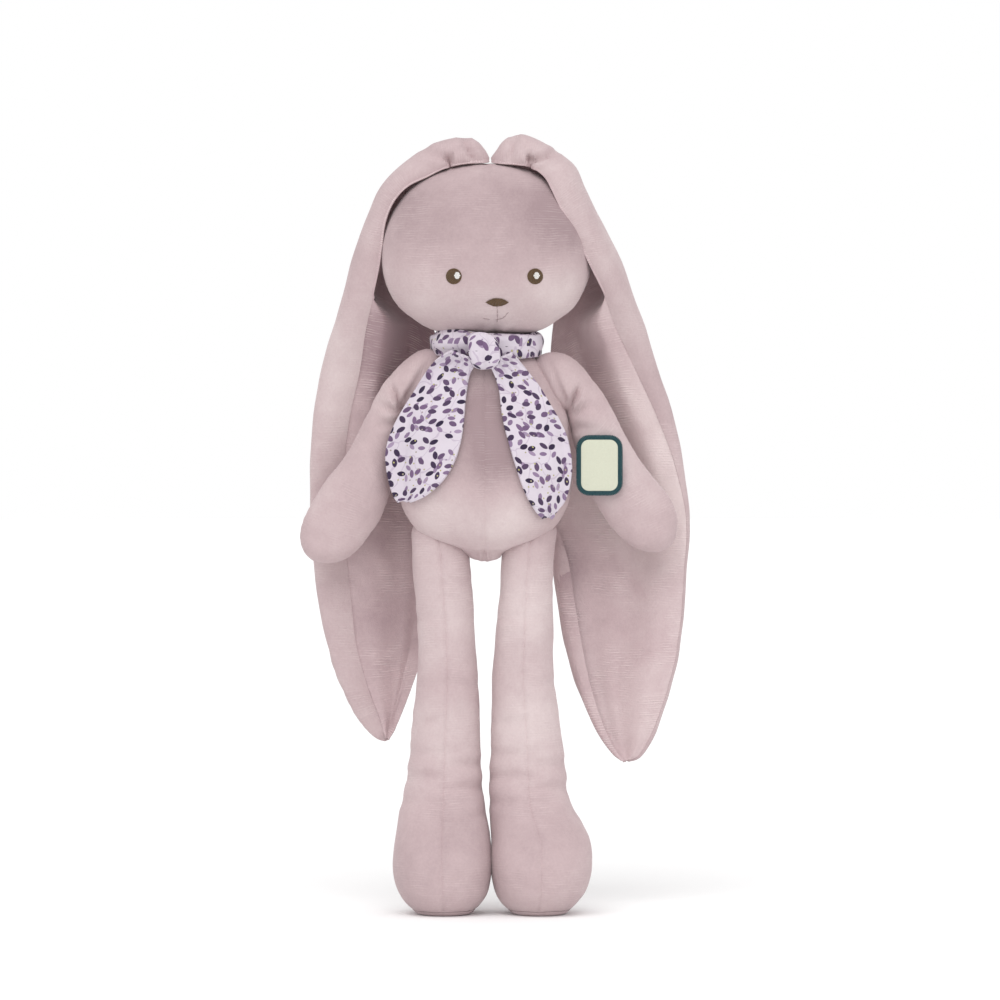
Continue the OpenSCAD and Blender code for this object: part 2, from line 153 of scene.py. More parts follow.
pile.links.new(pile_in.outputs["Vector"], specks.inputs["Vector"])
mottle = add(pile, "ShaderNodeTexNoise", {"Scale": 150.0, "Detail": 3.0, "Roughness": 0.6})
pile.links.new(pile_in.outputs["Vector"], mottle.inputs["Vector"])
fuzz = add(pile, "ShaderNodeTexNoise", {"Scale": 2600.0, "Detail": 2.0, "Roughness": 0.7})
pile.links.new(pile_in.outputs["Vector"], fuzz.inputs["Vector"])
turned = maths(pile, "SUBTRACT", patches.outputs["Fac"], 0.5)
turned = maths(pile, "MULTIPLY", turned, pile_in.outputs["Contrast"])
fine = maths(pile, "MULTIPLY", maths(pile, "SUBTRACT", specks.outputs["Fac"], 0.5), 0.3)
fine = maths(pile, "MULTIPLY_ADD", maths(pile, "SUBTRACT", mottle.outputs["Fac"], 0.5), 0.26, fine)
# The marks from each piece, added here, are partly the lie of the pile and partly painted shade and painted
# highlight.
turned = maths(pile, "ADD", maths(pile, "ADD", turned, fine), pile_in.outputs["Nap and painted light"])
turned = maths(pile, "ADD", turned, 0.5, clamp=True)
ramp_low = add(pile, "ShaderNodeMix", data_type="RGBA")
ramp_high = add(pile, "ShaderNodeMix", data_type="RGBA")
low_share = maths(pile, "MULTIPLY", turned, 2.0, clamp=True)
high_share = maths(pile, "SUBTRACT", maths(pile, "MULTIPLY", turned, 2.0), 1.0, clamp=True)
pile.links.new(low_share, ramp_low.inputs[0])
pile.links.new(pile_in.outputs["Deep"], ramp_low.inputs[6])
pile.links.new(pile_in.outputs["Mid"], ramp_low.inputs[7])
pile.links.new(high_share, ramp_high.inputs[0])
pile.links.new(ramp_low.outputs[2], ramp_high.inputs[6])
pile.links.new(pile_in.outputs["Pale"], ramp_high.inputs[7])
pile.links.new(ramp_high.outputs[2], pile_out.inputs["Color"])
height = maths(pile, "ADD", fuzz.outputs["Fac"], maths(pile, "MULTIPLY", specks.outputs["Fac"], 0.8))
pile.links.new(height, pile_out.inputs["Fuzz"])
pile.links.new(turned, pile_out.inputs["Lie and painted light"])
print("pile group:", len(pile.nodes), "nodes")


# %% [markdown]
# ## Ribs
#
# The pile stands in rows, so the cloth has fine ribs across the doll, about a millimetre apart.
# They show in some places and are brushed flat in others. The group reads the cloth's own
# coordinates, which are in metres, so the ribs follow each panel wherever it bends.

# %% Rib group
ribs, ribs_in, ribs_out = group(
    "ribs",
    [
        ("Vector", VECTOR, None),
        ("Pitch", FLOAT, 0.00115),
        ("Shown", FLOAT, 0.5),
        ("Offset", FLOAT, 0.0),
    ],
    [("Height", FLOAT), ("Line", FLOAT)],
)
split = add(ribs, "ShaderNodeSeparateXYZ")
ribs.links.new(ribs_in.outputs["Vector"], split.inputs[0])
sway = add(ribs, "ShaderNodeTexNoise", {"Scale": 60.0, "Detail": 1.0})
ribs.links.new(ribs_in.outputs["Vector"], sway.inputs["Vector"])
along = maths(ribs, "DIVIDE", split.outputs["Y"], ribs_in.outputs["Pitch"])
along = maths(ribs, "ADD", along, maths(ribs, "MULTIPLY", sway.outputs["Fac"], 2.4))
wave = maths(ribs, "SINE", maths(ribs, "MULTIPLY", along, math.tau))
wave = maths(ribs, "MULTIPLY_ADD", wave, 0.5, 0.5)
streaks = add(ribs, "ShaderNodeMapping")
streaks.inputs["Scale"].default_value = (150.0, 520.0, 150.0)
ribs.links.new(ribs_in.outputs["Vector"], streaks.inputs["Vector"])
dashes = add(ribs, "ShaderNodeTexNoise", {"Scale": 1.0, "Detail": 2.0})
ribs.links.new(streaks.outputs[0], dashes.inputs["Vector"])
brushed = add(ribs, "ShaderNodeTexNoise", {"Scale": 45.0, "Detail": 1.0})
ribs.links.new(ribs_in.outputs["Vector"], brushed.inputs["Vector"])
mask = maths(ribs, "MULTIPLY", maths(ribs, "SUBTRACT", brushed.outputs["Fac"], 0.43), 5.0, clamp=True)
broken = maths(ribs, "MULTIPLY", maths(ribs, "SUBTRACT", dashes.outputs["Fac"], 0.4), 4.5, clamp=True)
mask = maths(ribs, "MULTIPLY", mask, broken)
mask = maths(ribs, "MULTIPLY", mask, ribs_in.outputs["Shown"])
ribs.links.new(maths(ribs, "MULTIPLY", wave, mask), ribs_out.inputs["Height"])
line = maths(ribs, "MULTIPLY", maths(ribs, "POWER", wave, 6.0), mask)
ribs.links.new(line, ribs_out.inputs["Line"])
print("rib group:", len(ribs.nodes), "nodes")


# %% [markdown]
# ## Velour and ear lining
#
# Both are the same cloth. The lining is the deeper rose, and its ribs show more because nothing
# has brushed them down. The sheen is what makes pile look soft at the edges, and it is one plain
# number on the shader.

# %% Velour materials
def velour(name, deep, mid, pale, patch, contrast, shown, sheen):
    material = bpy.data.materials.new(name)
    material.use_nodes = True
    tree = material.node_tree
    shader = tree.nodes["Principled BSDF"]
    shader.inputs["Roughness"].default_value = 0.92
    shader.inputs["Specular IOR Level"].default_value = 0.12
    shader.inputs["Sheen Weight"].default_value = sheen
    shader.inputs["Sheen Roughness"].default_value = 0.42
    shader.inputs["Sheen Tint"].default_value = (1.0, 0.93, 0.93, 1)
    where = add(tree, "ShaderNodeTexCoord")
    nap = place(tree, pile, where.outputs["Object"], {
        "Patch size": patch, "Contrast": contrast, "Deep": deep, "Mid": mid, "Pale": pale,
    })
    # Each piece's own marks feed the pile: partly the lie of the pile, partly painted shade and painted highlight.
    nap_and_light_by = add(tree, "ShaderNodeAttribute", attribute_name="brushed")
    tree.links.new(nap_and_light_by.outputs["Fac"], nap.inputs["Nap and painted light"])
    rows = place(tree, ribs, where.outputs["UV"], {"Shown": shown})
    lined = add(tree, "ShaderNodeMix", data_type="RGBA")
    tree.links.new(maths(tree, "MULTIPLY", rows.outputs["Line"], 0.75, clamp=True), lined.inputs[0])
    tree.links.new(nap.outputs["Color"], lined.inputs[6])
    lined.inputs[7].default_value = tuple(min(c * 1.22, 1) for c in pale[:3]) + (1,)
    tree.links.new(lined.outputs[2], shader.inputs["Base Color"])
    fuzz_bump = add(tree, "ShaderNodeBump", {"Strength": 0.35, "Distance": 0.0005})
    tree.links.new(nap.outputs["Fuzz"], fuzz_bump.inputs["Height"])
    rib_bump = add(tree, "ShaderNodeBump", {"Strength": 0.55, "Distance": 0.0004})
    tree.links.new(rows.outputs["Height"], rib_bump.inputs["Height"])
    tree.links.new(fuzz_bump.outputs[0], rib_bump.inputs["Normal"])
    tree.links.new(rib_bump.outputs[0], shader.inputs["Normal"])
    return material


velour_rose = velour(
    "velour", (0.35, 0.255, 0.268, 1), (0.525, 0.405, 0.415, 1), (0.69, 0.59, 0.585, 1),
    patch=0.038, contrast=0.6, shown=0.36, sheen=0.25,
)
velour_lining = velour(
    "velour_lining", (0.36, 0.255, 0.272, 1), (0.56, 0.43, 0.442, 1), (0.72, 0.61, 0.605, 1),
    patch=0.034, contrast=0.75, shown=0.9, sheen=0.2,
)
print("velour:", velour_rose.name, velour_lining.name)


# %% [markdown]
# ## Thread, filling and the label's woven tape
#
# Embroidery thread is twisted, so each strand catches the light in short slanted bands. The
# label is a close satin weave. One group draws a twist or a weave from the cloth's coordinates.

# %% Thread group
twist, twist_in, twist_out = group(
    "twist",
    [("Vector", VECTOR, None), ("Pitch", FLOAT, 0.0006), ("Slant", FLOAT, 1.0)],
    [("Height", FLOAT), ("Shade", FLOAT)],
)
parts = add(twist, "ShaderNodeSeparateXYZ")
twist.links.new(twist_in.outputs["Vector"], parts.inputs[0])
across = maths(twist, "MULTIPLY", parts.outputs["X"], twist_in.outputs["Slant"])
slanted = maths(twist, "ADD", maths(twist, "ADD", parts.outputs["Y"], across), parts.outputs["Z"])
bands = maths(twist, "SINE", maths(twist, "MULTIPLY", maths(
    twist, "DIVIDE", slanted, twist_in.outputs["Pitch"]), math.tau))
bands = maths(twist, "MULTIPLY_ADD", bands, 0.5, 0.5)
grain = add(twist, "ShaderNodeTexNoise", {"Scale": 1400.0, "Detail": 2.0})
twist.links.new(twist_in.outputs["Vector"], grain.inputs["Vector"])
twist.links.new(bands, twist_out.inputs["Height"])
shade = maths(twist, "ADD", maths(twist, "MULTIPLY", bands, 0.5),
              maths(twist, "MULTIPLY", grain.outputs["Fac"], 0.5))
twist.links.new(shade, twist_out.inputs["Shade"])


# %% Thread materials
def threads(name, dark, light, pitch, slant=1.0, rough=0.55, sheen=0.2, source="Object"):
    material = bpy.data.materials.new(name)
    material.use_nodes = True
    tree = material.node_tree
    shader = tree.nodes["Principled BSDF"]
    shader.inputs["Roughness"].default_value = rough
    shader.inputs["Sheen Weight"].default_value = sheen
    shader.inputs["Specular IOR Level"].default_value = 0.35
    where = add(tree, "ShaderNodeTexCoord")
    strand = place(tree, twist, where.outputs[source], {"Pitch": pitch, "Slant": slant})
    colour = add(tree, "ShaderNodeMix", data_type="RGBA")
    tree.links.new(strand.outputs["Shade"], colour.inputs[0])
    colour.inputs[6].default_value = dark
    colour.inputs[7].default_value = light
    tree.links.new(colour.outputs[2], shader.inputs["Base Color"])
    bump = add(tree, "ShaderNodeBump", {"Strength": 0.5, "Distance": 0.0002})
    tree.links.new(strand.outputs["Height"], bump.inputs["Height"])
    tree.links.new(bump.outputs[0], shader.inputs["Normal"])
    return material


thread_brown = threads("thread_brown", (0.04, 0.02, 0.007, 1), (0.18, 0.10, 0.04, 1), 0.0006)
thread_white = threads("thread_white", (0.80, 0.78, 0.74, 1), (0.95, 0.94, 0.92, 1), 0.0006)
thread_rose = threads("thread_rose", (0.30, 0.21, 0.215, 1), (0.46, 0.345, 0.35, 1), 0.0006)
label_teal = threads("label_teal", (0.004, 0.032, 0.042, 1), (0.012, 0.085, 0.098, 1), 0.0005)
label_cream = threads("label_cream", (0.58, 0.59, 0.46, 1), (0.72, 0.73, 0.60, 1), 0.00045, -1.0)
filling = threads("filling", (0.78, 0.76, 0.73, 1), (0.92, 0.91, 0.89, 1), 0.004, 0.3, rough=0.95)
print("threads:", thread_brown.name, thread_white.name, thread_rose.name)


# %% [markdown]
# ## The scarf's printed cotton
#
# Thin plain-weave cotton in pale lilac, printed all over with small pointed leaves in three
# purples, tiny yellow-green buds and hair-thin stems. Each leaf is one cell of a Voronoi texture:
# the offset from the cell's centre is turned by a random angle and compared with a pointed oval.

# %% Leaf group
leaf, leaf_in, leaf_out = group(
    "leaf print",
    [
        ("Vector", VECTOR, None),
        ("Density", FLOAT, 200.0),
        ("Length", FLOAT, 0.45),
        ("Width", FLOAT, 0.2),
        ("Missing", FLOAT, 0.1),
        ("Shift", FLOAT, 0.0),
    ],
    [("Mask", FLOAT), ("Random", FLOAT)],
)
scaled = add(leaf, "ShaderNodeVectorMath", operation="SCALE")
leaf.links.new(leaf_in.outputs["Vector"], scaled.inputs[0])
leaf.links.new(leaf_in.outputs["Density"], scaled.inputs["Scale"])
moved = add(leaf, "ShaderNodeVectorMath", operation="ADD")
leaf.links.new(scaled.outputs[0], moved.inputs[0])
leaf.links.new(leaf_in.outputs["Shift"], moved.inputs[1])
cell = add(leaf, "ShaderNodeTexVoronoi", {"Scale": 1.0, "Randomness": 0.62}, voronoi_dimensions="2D")
leaf.links.new(moved.outputs[0], cell.inputs["Vector"])
offset = add(leaf, "ShaderNodeVectorMath", operation="SUBTRACT")
leaf.links.new(moved.outputs[0], offset.inputs[0])
leaf.links.new(cell.outputs["Position"], offset.inputs[1])
chance = add(leaf, "ShaderNodeSeparateColor")
leaf.links.new(cell.outputs["Color"], chance.inputs[0])
turn = add(leaf, "ShaderNodeVectorRotate", rotation_type="Z_AXIS")
leaf.links.new(offset.outputs[0], turn.inputs["Vector"])
leaf.links.new(maths(leaf, "MULTIPLY", chance.outputs[0], math.tau), turn.inputs["Angle"])
own = add(leaf, "ShaderNodeSeparateXYZ")
leaf.links.new(turn.outputs[0], own.inputs[0])
lengthwise = maths(leaf, "POWER", maths(leaf, "DIVIDE", own.outputs["X"], leaf_in.outputs["Length"]), 2.0)
sideways = maths(leaf, "ABSOLUTE", maths(leaf, "DIVIDE", own.outputs["Y"], leaf_in.outputs["Width"]))
sideways = maths(leaf, "POWER", sideways, 1.6)
inside = maths(leaf, "SUBTRACT", 1.0, maths(leaf, "ADD", lengthwise, sideways))
inside = maths(leaf, "MULTIPLY", inside, 9.0, clamp=True)
there = maths(leaf, "GREATER_THAN", chance.outputs[1], leaf_in.outputs["Missing"])
leaf.links.new(maths(leaf, "MULTIPLY", inside, there), leaf_out.inputs["Mask"])
leaf.links.new(chance.outputs[2], leaf_out.inputs["Random"])
print("leaf group:", len(leaf.nodes), "nodes")


# %% Cotton material
scarf_cotton = bpy.data.materials.new("scarf_cotton")
scarf_cotton.use_nodes = True
tree = scarf_cotton.node_tree
shader = tree.nodes["Principled BSDF"]
shader.inputs["Roughness"].default_value = 0.85
shader.inputs["Specular IOR Level"].default_value = 0.2
shader.inputs["Sheen Weight"].default_value = 0.12
uv = add(tree, "ShaderNodeTexCoord").outputs["UV"]
ground = add(tree, "ShaderNodeTexNoise", {"Scale": 90.0, "Detail": 3.0})
tree.links.new(uv, ground.inputs["Vector"])
colour = add(tree, "ShaderNodeMix", data_type="RGBA")
tree.links.new(ground.outputs["Fac"], colour.inputs[0])
colour.inputs[6].default_value = (0.60, 0.53, 0.60, 1)
colour.inputs[7].default_value = (0.72, 0.66, 0.725, 1)
printed = colour.outputs[2]

stems = add(tree, "ShaderNodeTexVoronoi", {"Scale": 75.0, "Randomness": 1.0},
            voronoi_dimensions="2D", feature="DISTANCE_TO_EDGE")
bent = add(tree, "ShaderNodeTexNoise", {"Scale": 110.0, "Detail": 1.0})
tree.links.new(uv, bent.inputs["Vector"])
lean = add(tree, "ShaderNodeMix", {0: 0.012}, data_type="VECTOR")
tree.links.new(uv, lean.inputs[4])
tree.links.new(bent.outputs["Color"], lean.inputs[5])
tree.links.new(lean.outputs[1], stems.inputs["Vector"])
thin = maths(tree, "LESS_THAN", stems.outputs["Distance"], 0.022)
faint = maths(tree, "MULTIPLY", thin, 0.3)
prints = [(faint, None, (0.30, 0.20, 0.34, 1), (0.30, 0.20, 0.34, 1))]
for density, length, width, missing, shift, dark, light in (
    (205.0, 0.38, 0.20, 0.45, 7.3, (0.22, 0.145, 0.25, 1), (0.38, 0.29, 0.41, 1)),
    (202.0, 0.42, 0.24, 0.16, 0.0, (0.03, 0.019, 0.048, 1), (0.19, 0.115, 0.215, 1)),
    (380.0, 0.17, 0.15, 0.8, 3.1, (0.45, 0.42, 0.17, 1), (0.28, 0.20, 0.34, 1)),
):
    one = place(tree, leaf, uv, {"Density": density, "Length": length, "Width": width,
                                 "Missing": missing, "Shift": shift})
    prints.append((one.outputs["Mask"], one.outputs["Random"], dark, light))
for mask_socket, random_socket, dark, light in prints:
    ink = add(tree, "ShaderNodeMix", data_type="RGBA")
    ink.inputs[6].default_value = dark
    ink.inputs[7].default_value = light
    if random_socket:
        tree.links.new(maths(tree, "POWER", random_socket, 1.6), ink.inputs[0])
    over = add(tree, "ShaderNodeMix", data_type="RGBA")
    tree.links.new(mask_socket, over.inputs[0])
    tree.links.new(printed, over.inputs[6])
    tree.links.new(ink.outputs[2], over.inputs[7])
    printed = over.outputs[2]
tree.links.new(printed, shader.inputs["Base Color"])
weave = place(tree, twist, uv, {"Pitch": 0.0004, "Slant": 0.0})
weft = place(tree, twist, uv, {"Pitch": 0.0004, "Slant": 40.0})
crossed = maths(tree, "ADD", weave.outputs["Height"], weft.outputs["Height"])
bump = add(tree, "ShaderNodeBump", {"Strength": 0.3, "Distance": 0.0001})
tree.links.new(crossed, bump.inputs["Height"])
tree.links.new(bump.outputs[0], shader.inputs["Normal"])
print("cotton print:", len(tree.nodes), "nodes")


# %% [markdown]
# ## Soft forms from outlines
#
# A stuffed limb is a tube of cloth whose outline is known on the left and on the right. Each row
# of a form holds the left point and the right point of its outline, where its middle lies in
# depth, and how deep it is, all in millimetres. A smooth curve runs through the rows, and every
# section is a rounded oval between the two outline points.

# %% Rows and sections
def smooth(rows, positions):
    """Values between the rows, on a Catmull-Rom curve."""
    rows = np.asarray(rows, float)
    last = len(rows) - 1
    at = np.clip(positions, 0, last)
    i = np.minimum(at.astype(int), last - 1)
    t = (at - i)[:, None]
    a, b, c, d = (rows[np.clip(i + k, 0, last)] for k in (-1, 0, 1, 2))
    return 0.5 * (2 * b + (c - a) * t + (2 * a - 5 * b + 4 * c - d) * t**2
                  + (3 * b - a - 3 * c + d) * t**3)


def even(rows, count, columns=slice(0, 4)):
    """The curve through the rows, cut into pieces of equal length along the given columns."""
    dense = smooth(rows, np.linspace(0, len(rows) - 1, 20 * len(rows)))
    steps = np.linalg.norm(np.diff(dense[:, columns], axis=0), axis=1)
    reach = np.concatenate([[0], np.cumsum(steps)])
    picked = np.interp(np.linspace(0, reach[-1], count), reach, np.linspace(0, len(rows) - 1, len(reach)))
    return smooth(rows, picked)


def oval_grid(rows, count, columns, power=2.2):
    """Points of a tube: rows of [left x, left z, right x, right z, middle y, half depth]."""
    picked = even(rows, count) * MM
    angle = np.linspace(0, math.tau, columns, endpoint=False)
    c, s = np.cos(angle), np.sin(angle)
    c = np.sign(c) * np.abs(c) ** (2 / power)
    s = np.sign(s) * np.abs(s) ** (2 / power)
    left, right = picked[:, None, 0:2], picked[:, None, 2:4]
    flat = (left + right) / 2 + (right - left) / 2 * c[None, :, None]
    deep = picked[:, None, 4] + picked[:, None, 5] * s[None, :]
    return np.stack([flat[..., 0], deep, flat[..., 1]], axis=-1)


def refine(grid, closed=True):
    """Twice as many rows and columns, with the new points on smooth curves."""
    def between(points, wrap):
        count = len(points)
        index = np.arange(count if wrap else count - 1)
        pick = (lambda k: points[k % count]) if wrap else (lambda k: points[np.clip(k, 0, count - 1)])
        new = (9 * (pick(index) + pick(index + 1)) - pick(index - 1) - pick(index + 2)) / 16
        out = np.empty((count + len(new),) + points.shape[1:])
        out[0::2], out[1::2] = points, new
        return out
    grid = between(grid, False)
    return np.swapaxes(between(np.swapaxes(grid, 0, 1), closed), 0, 1)


print("one smooth value halfway between rows:", smooth([[0], [1], [4]], np.array([0.5]))[0, 0])


# %% [markdown]
# ## Filling a cover by simulation
#
# Fibre filling presses the cover out between its seams and leaves the seams behind. Blender's
# cloth does the same with pressure: the seam columns are pinned, gravity is off, and after
# twenty frames the result is kept, with a limit on how far a point may travel.

# %% Pressure
def grid_mesh(name, grid, closed=True, caps=True):
    """A mesh of quads over a grid of points."""
    count, columns = grid.shape[:2]
    faces = []
    for i in range(count - 1):
        for j in range(columns if closed else columns - 1):
            k = (j + 1) % columns
            faces.append((i * columns + j, i * columns + k, (i + 1) * columns + k, (i + 1) * columns + j))
    if closed and caps:
        faces.append(tuple(range(columns - 1, -1, -1)))
        faces.append(tuple((count - 1) * columns + j for j in range(columns)))
    mesh = bpy.data.meshes.new(name)
    mesh.from_pydata(grid.reshape(-1, 3).tolist(), [], faces)
    mesh.update()
    return mesh


def inflate(name, grid, seams, pressure=4.0, cap=3.0, ends=2):
    """The grid after its cloth has been blown up a little between pinned seam columns."""
    obj = bpy.data.objects.new(name + "_cloth", grid_mesh(name, grid))
    bpy.context.scene.collection.objects.link(obj)
    count, columns = grid.shape[:2]
    pinned = [i * columns + j for i in range(count) for j in seams]
    pinned += [i * columns + j for i in list(range(ends)) + list(range(count - ends, count))
               for j in range(columns)]
    hold = obj.vertex_groups.new(name="seams")
    hold.add(sorted(set(pinned)), 1.0, "REPLACE")
    cloth = obj.modifiers.new("filling", "CLOTH")
    cloth.settings.quality = 6
    cloth.settings.mass = 0.15
    cloth.settings.tension_stiffness = 20
    cloth.settings.compression_stiffness = 8
    cloth.settings.shear_stiffness = 5
    cloth.settings.bending_stiffness = 0.2
    cloth.settings.use_pressure = True
    cloth.settings.uniform_pressure_force = pressure
    cloth.settings.vertex_group_mass = "seams"
    cloth.settings.effector_weights.gravity = 0
    cloth.point_cache.frame_start = 1
    cloth.point_cache.frame_end = 20
    scene = bpy.context.scene
    for step in range(1, 21):
        scene.frame_set(step)
    shaped = obj.evaluated_get(bpy.context.evaluated_depsgraph_get()).data
    out = np.empty(len(shaped.vertices) * 3)
    shaped.vertices.foreach_get("co", out)
    bpy.data.objects.remove(obj)
    scene.frame_set(1)
    move = out.reshape(grid.shape) - grid
    length = np.linalg.norm(move, axis=-1, keepdims=True)
    print(f"{name}: cloth moved {length.mean() / MM:.2f} mm on average, {length.max() / MM:.2f} at most")
    limit = cap * MM
    return grid + move * np.minimum(1, limit * np.tanh(length / limit) / np.maximum(length, 1e-9))


# %% [markdown]
# ## Creases, seams and panels
#
# A crease is a line on the form where the cloth folds in. A seam pulls its edges in too, with
# small puckers across it. Panels are then cut out of the finished form along the seams, and each
# gets the cloth's thickness on its inner side, so the edges of two panels meet in a groove.

# %% Surface helpers
def normals(grid, closed=True):
    """Outward normals of a tube's grid."""
    if closed:
        over = np.roll(grid, -1, axis=1) - np.roll(grid, 1, axis=1)
    else:
        over = np.gradient(grid, axis=1)
    down = np.gradient(grid, axis=0)
    n = np.cross(over, down)
    return n / np.maximum(np.linalg.norm(n, axis=-1, keepdims=True), 1e-12)


def crease(grid, start, end, depth, width, front=True, closed=True, turned=False):
    """Presses a soft line into the front (or back) of a form; places are x and z in mm."""
    a, b = np.array(start) * MM, np.array(end) * MM
    flat = grid[..., [0, 2]]
    share = np.clip(((flat - a) @ (b - a)) / ((b - a) @ (b - a)), 0, 1)
    away = np.linalg.norm(flat - (a + share[..., None] * (b - a)), axis=-1)
    n = normals(grid, closed) * (-1 if turned else 1)
    facing = np.clip((-n[..., 1] if front else n[..., 1]) * 3 + 0.4, 0, 1)
    taper = np.sqrt(np.clip(4 * share * (1 - share) + 0.15, 0, 1))
    press = np.exp(-((away / (width * MM)) ** 2)) - 0.35 * np.exp(-(((away / (width * MM)) - 1.9) ** 2) * 1.5)
    return grid - n * (press * taper * facing * depth * MM)[..., None]


def seam(grid, columns, depth=0.9, width=2.0, pitch=4.0, closed=True, fade=0.01):
    """Pulls the cloth in along some columns, with puckers; it fades in over the first mm."""
    n = normals(grid, closed)
    step = np.linalg.norm(np.diff(grid, axis=0), axis=-1)
    along = np.concatenate([np.zeros((1, grid.shape[1])), np.cumsum(step, axis=0)]) / MM
    total = np.zeros(grid.shape[:2])
    for column in columns:
        line = grid[:, column % grid.shape[1]]
        away = np.linalg.norm(grid - line[:, None], axis=-1) / MM
        pull = np.exp(-((away / width) ** 2))
        wave = np.sin(along * math.tau / pitch + 1.7 * np.sin(along / 9.0 + column))
        pucker = np.exp(-(((away - width) / width) ** 2)) * wave * 0.13
        total = np.maximum(total, pull * depth) + pucker * min(depth, 1)
    total *= np.clip(along / fade, 0, 1)
    return grid - n * (total * MM)[..., None]


def ripple(grid, size, amount, seed, closed=True):
    """Slow unevenness of the filling; size and amount in mm."""
    n = normals(grid, closed)
    lift = np.empty(grid.shape[:2])
    for i, row in enumerate(grid):
        for j, point in enumerate(row):
            spot = Vector(point) / (size * MM) + Vector((seed * 3.1, seed, -seed))
            lift[i, j] = noise.noise(spot) + 0.4 * noise.noise(spot * 2.3)
    return grid + n * (lift * amount * MM)[..., None]


def cloth_uv(mesh, count, columns, grid):
    """Cloth coordinates in metres: across the piece, and along it."""
    wide = np.linalg.norm(np.diff(grid, axis=1), axis=-1)
    u = np.concatenate([np.zeros((count, 1)), np.cumsum(wide, axis=1)], axis=1)
    u -= u[:, -1:] / 2
    tall = np.linalg.norm(np.diff(grid, axis=0), axis=-1).mean(axis=1)
    v = np.concatenate([[0], np.cumsum(tall)])
    layer = mesh.uv_layers.new(name="cloth")
    for loop in mesh.loops:
        k = loop.vertex_index
        layer.data[loop.index].uv = (u[k // columns, k % columns], v[k // columns])


def settle(obj):
    """Applies the modifiers, so that the piece is a plain smooth mesh."""
    shaped = bpy.data.meshes.new_from_object(
        obj.evaluated_get(bpy.context.evaluated_depsgraph_get()))
    obj.modifiers.clear()
    old, obj.data = obj.data, shaped
    shaped.name = obj.name
    bpy.data.meshes.remove(old)
    shaped.polygons.foreach_set("use_smooth", [True] * len(shaped.polygons))
    shaped.set_sharp_from_angle(angle=math.radians(60))
    return obj


def sheet_piece(name, grid, material, thick=0.9, closed=False, flip=False):
    """A piece of cloth over a grid, with its thickness on the inner side."""
    count, columns = grid.shape[:2]
    mesh = grid_mesh(name, grid, closed, caps=False)
    cloth_uv(mesh, count, columns, grid)
    if flip:
        mesh.flip_normals()
    obj = bpy.data.objects.new(name, mesh)
    bpy.context.scene.collection.objects.link(obj)
    mesh.materials.append(material)
    wall = obj.modifiers.new("thickness", "SOLIDIFY")
    wall.thickness = thick * MM
    wall.offset = -1
    wall.use_quality_normals = True
    return settle(obj)


def panel(name, grid, first, last, material, thick=0.9):
    """The part of a tube from one seam column to another, as its own piece of cloth."""
    columns = grid.shape[1]
    picked = np.stack([grid[:, j % columns] for j in range(first, last + 1)], axis=1)
    return sheet_piece(name, picked, material, thick)


def plump(name, grid, inset=2.4):
    """The filling: a closed body a little inside the cover."""
    coarse = grid[::2, ::2]
    inner = coarse - normals(coarse) * inset * MM
    middle = coarse.mean(axis=1, keepdims=True)
    reach = np.linalg.norm(coarse - middle, axis=-1, keepdims=True)
    inner = np.where(reach < 3.2 * MM, middle + (coarse - middle) * 0.2, inner)
    inner[0], inner[-1] = inner[0] * 0.3 + inner[1].mean(axis=0) * 0.7, inner[-1] * 0.3 + inner[-2].mean(axis=0) * 0.7
    obj = bpy.data.objects.new(name, grid_mesh(name, inner))
    bpy.context.scene.collection.objects.link(obj)
    obj.data.materials.append(filling)
    obj.data.polygons.foreach_set("use_smooth", [True] * len(obj.data.polygons))
    return obj


pieces = {}
print("helpers ready")


# %% [markdown]
# ## Torso
#
# The body is a pear with its widest part low down. Its back is one panel and its front is two,
# with a seam down the middle. The bottom is closed in a shallow V over the legs, and the top
# narrows to the neck under the scarf.

# %% Torso
torso_rows = [
    (-5.5, 158.8, -1.5, 158.8, 0, 1.5), (-9.6, 160, 2.6, 160, -1, 6), (-15, 163.2, 6, 163.2, -2, 9),
    (-23, 166.2, 14.5, 166.2, -2, 12.5),
    (-32.5, 171, 24, 171, -2, 16.5), (-38.5, 177, 30, 177, -2, 19), (-42.3, 185, 33.8, 185, -2, 20.4),
    (-43.8, 194, 35.4, 194, -2, 21), (-43.6, 206, 35.2, 206, -2, 21), (-42.9, 217, 34.3, 217, -2, 20.4),
    (-41, 229, 32.6, 229, -2, 19), (-36.5, 239, 28.3, 239, -1.5, 17), (-30.5, 247, 22.5, 247, -1, 14.5),
    (-24.5, 252.5, 17, 252.5, 0, 11.5), (-17, 256, 9.5, 256, 0, 8), (-6, 257.2, -1, 257.2, 0, 1.5),
]
torso = oval_grid(torso_rows, 38, 96, power=2.15)
torso = inflate("torso", torso, seams=(0, 48, 72), cap=2.0)
torso = refine(torso)
torso = ripple(torso, 17, 0.5, 2)
torso = crease(torso, (-41, 229), (-33, 236), 1.3, 2.4)
torso = crease(torso, (32.5, 227), (26, 236), 1.3, 2.4)
for start, end in (((-30, 168.5), (-12, 163)), ((-12, 162.6), (5, 162.6)), ((5, 163), (21, 168.5))):
    torso = crease(torso, start, end, 0.9, 1.1)
for x in (-7.5, -4.5, -1.5):
    torso = crease(torso, (x, 159), (x, 163), 0.6, 0.7)
torso = seam(torso, (0, 96), 0.8, 1.8)
torso = seam(torso, (144,), 0.6, 1.0, 5.0)
pieces["torso_front_right"] = panel("torso_front_right", torso, 96, 144, velour_rose)
pieces["torso_front_left"] = panel("torso_front_left", torso, 144, 192, velour_rose)
pieces["torso_back"] = panel("torso_back", torso, 0, 96, velour_rose)
pieces["torso_stuffing"] = plump("torso_stuffing", torso)
print("torso panels:", [len(pieces[k].data.polygons) for k in pieces])


# %% [markdown]
# ## Head
#
# The head is wider than it is high, flatter below than above, and shallower than it is wide. The
# face is stitched through at the eyes, which pulls the cloth in a little around each one, and a
# soft line runs down from the top between the ears.

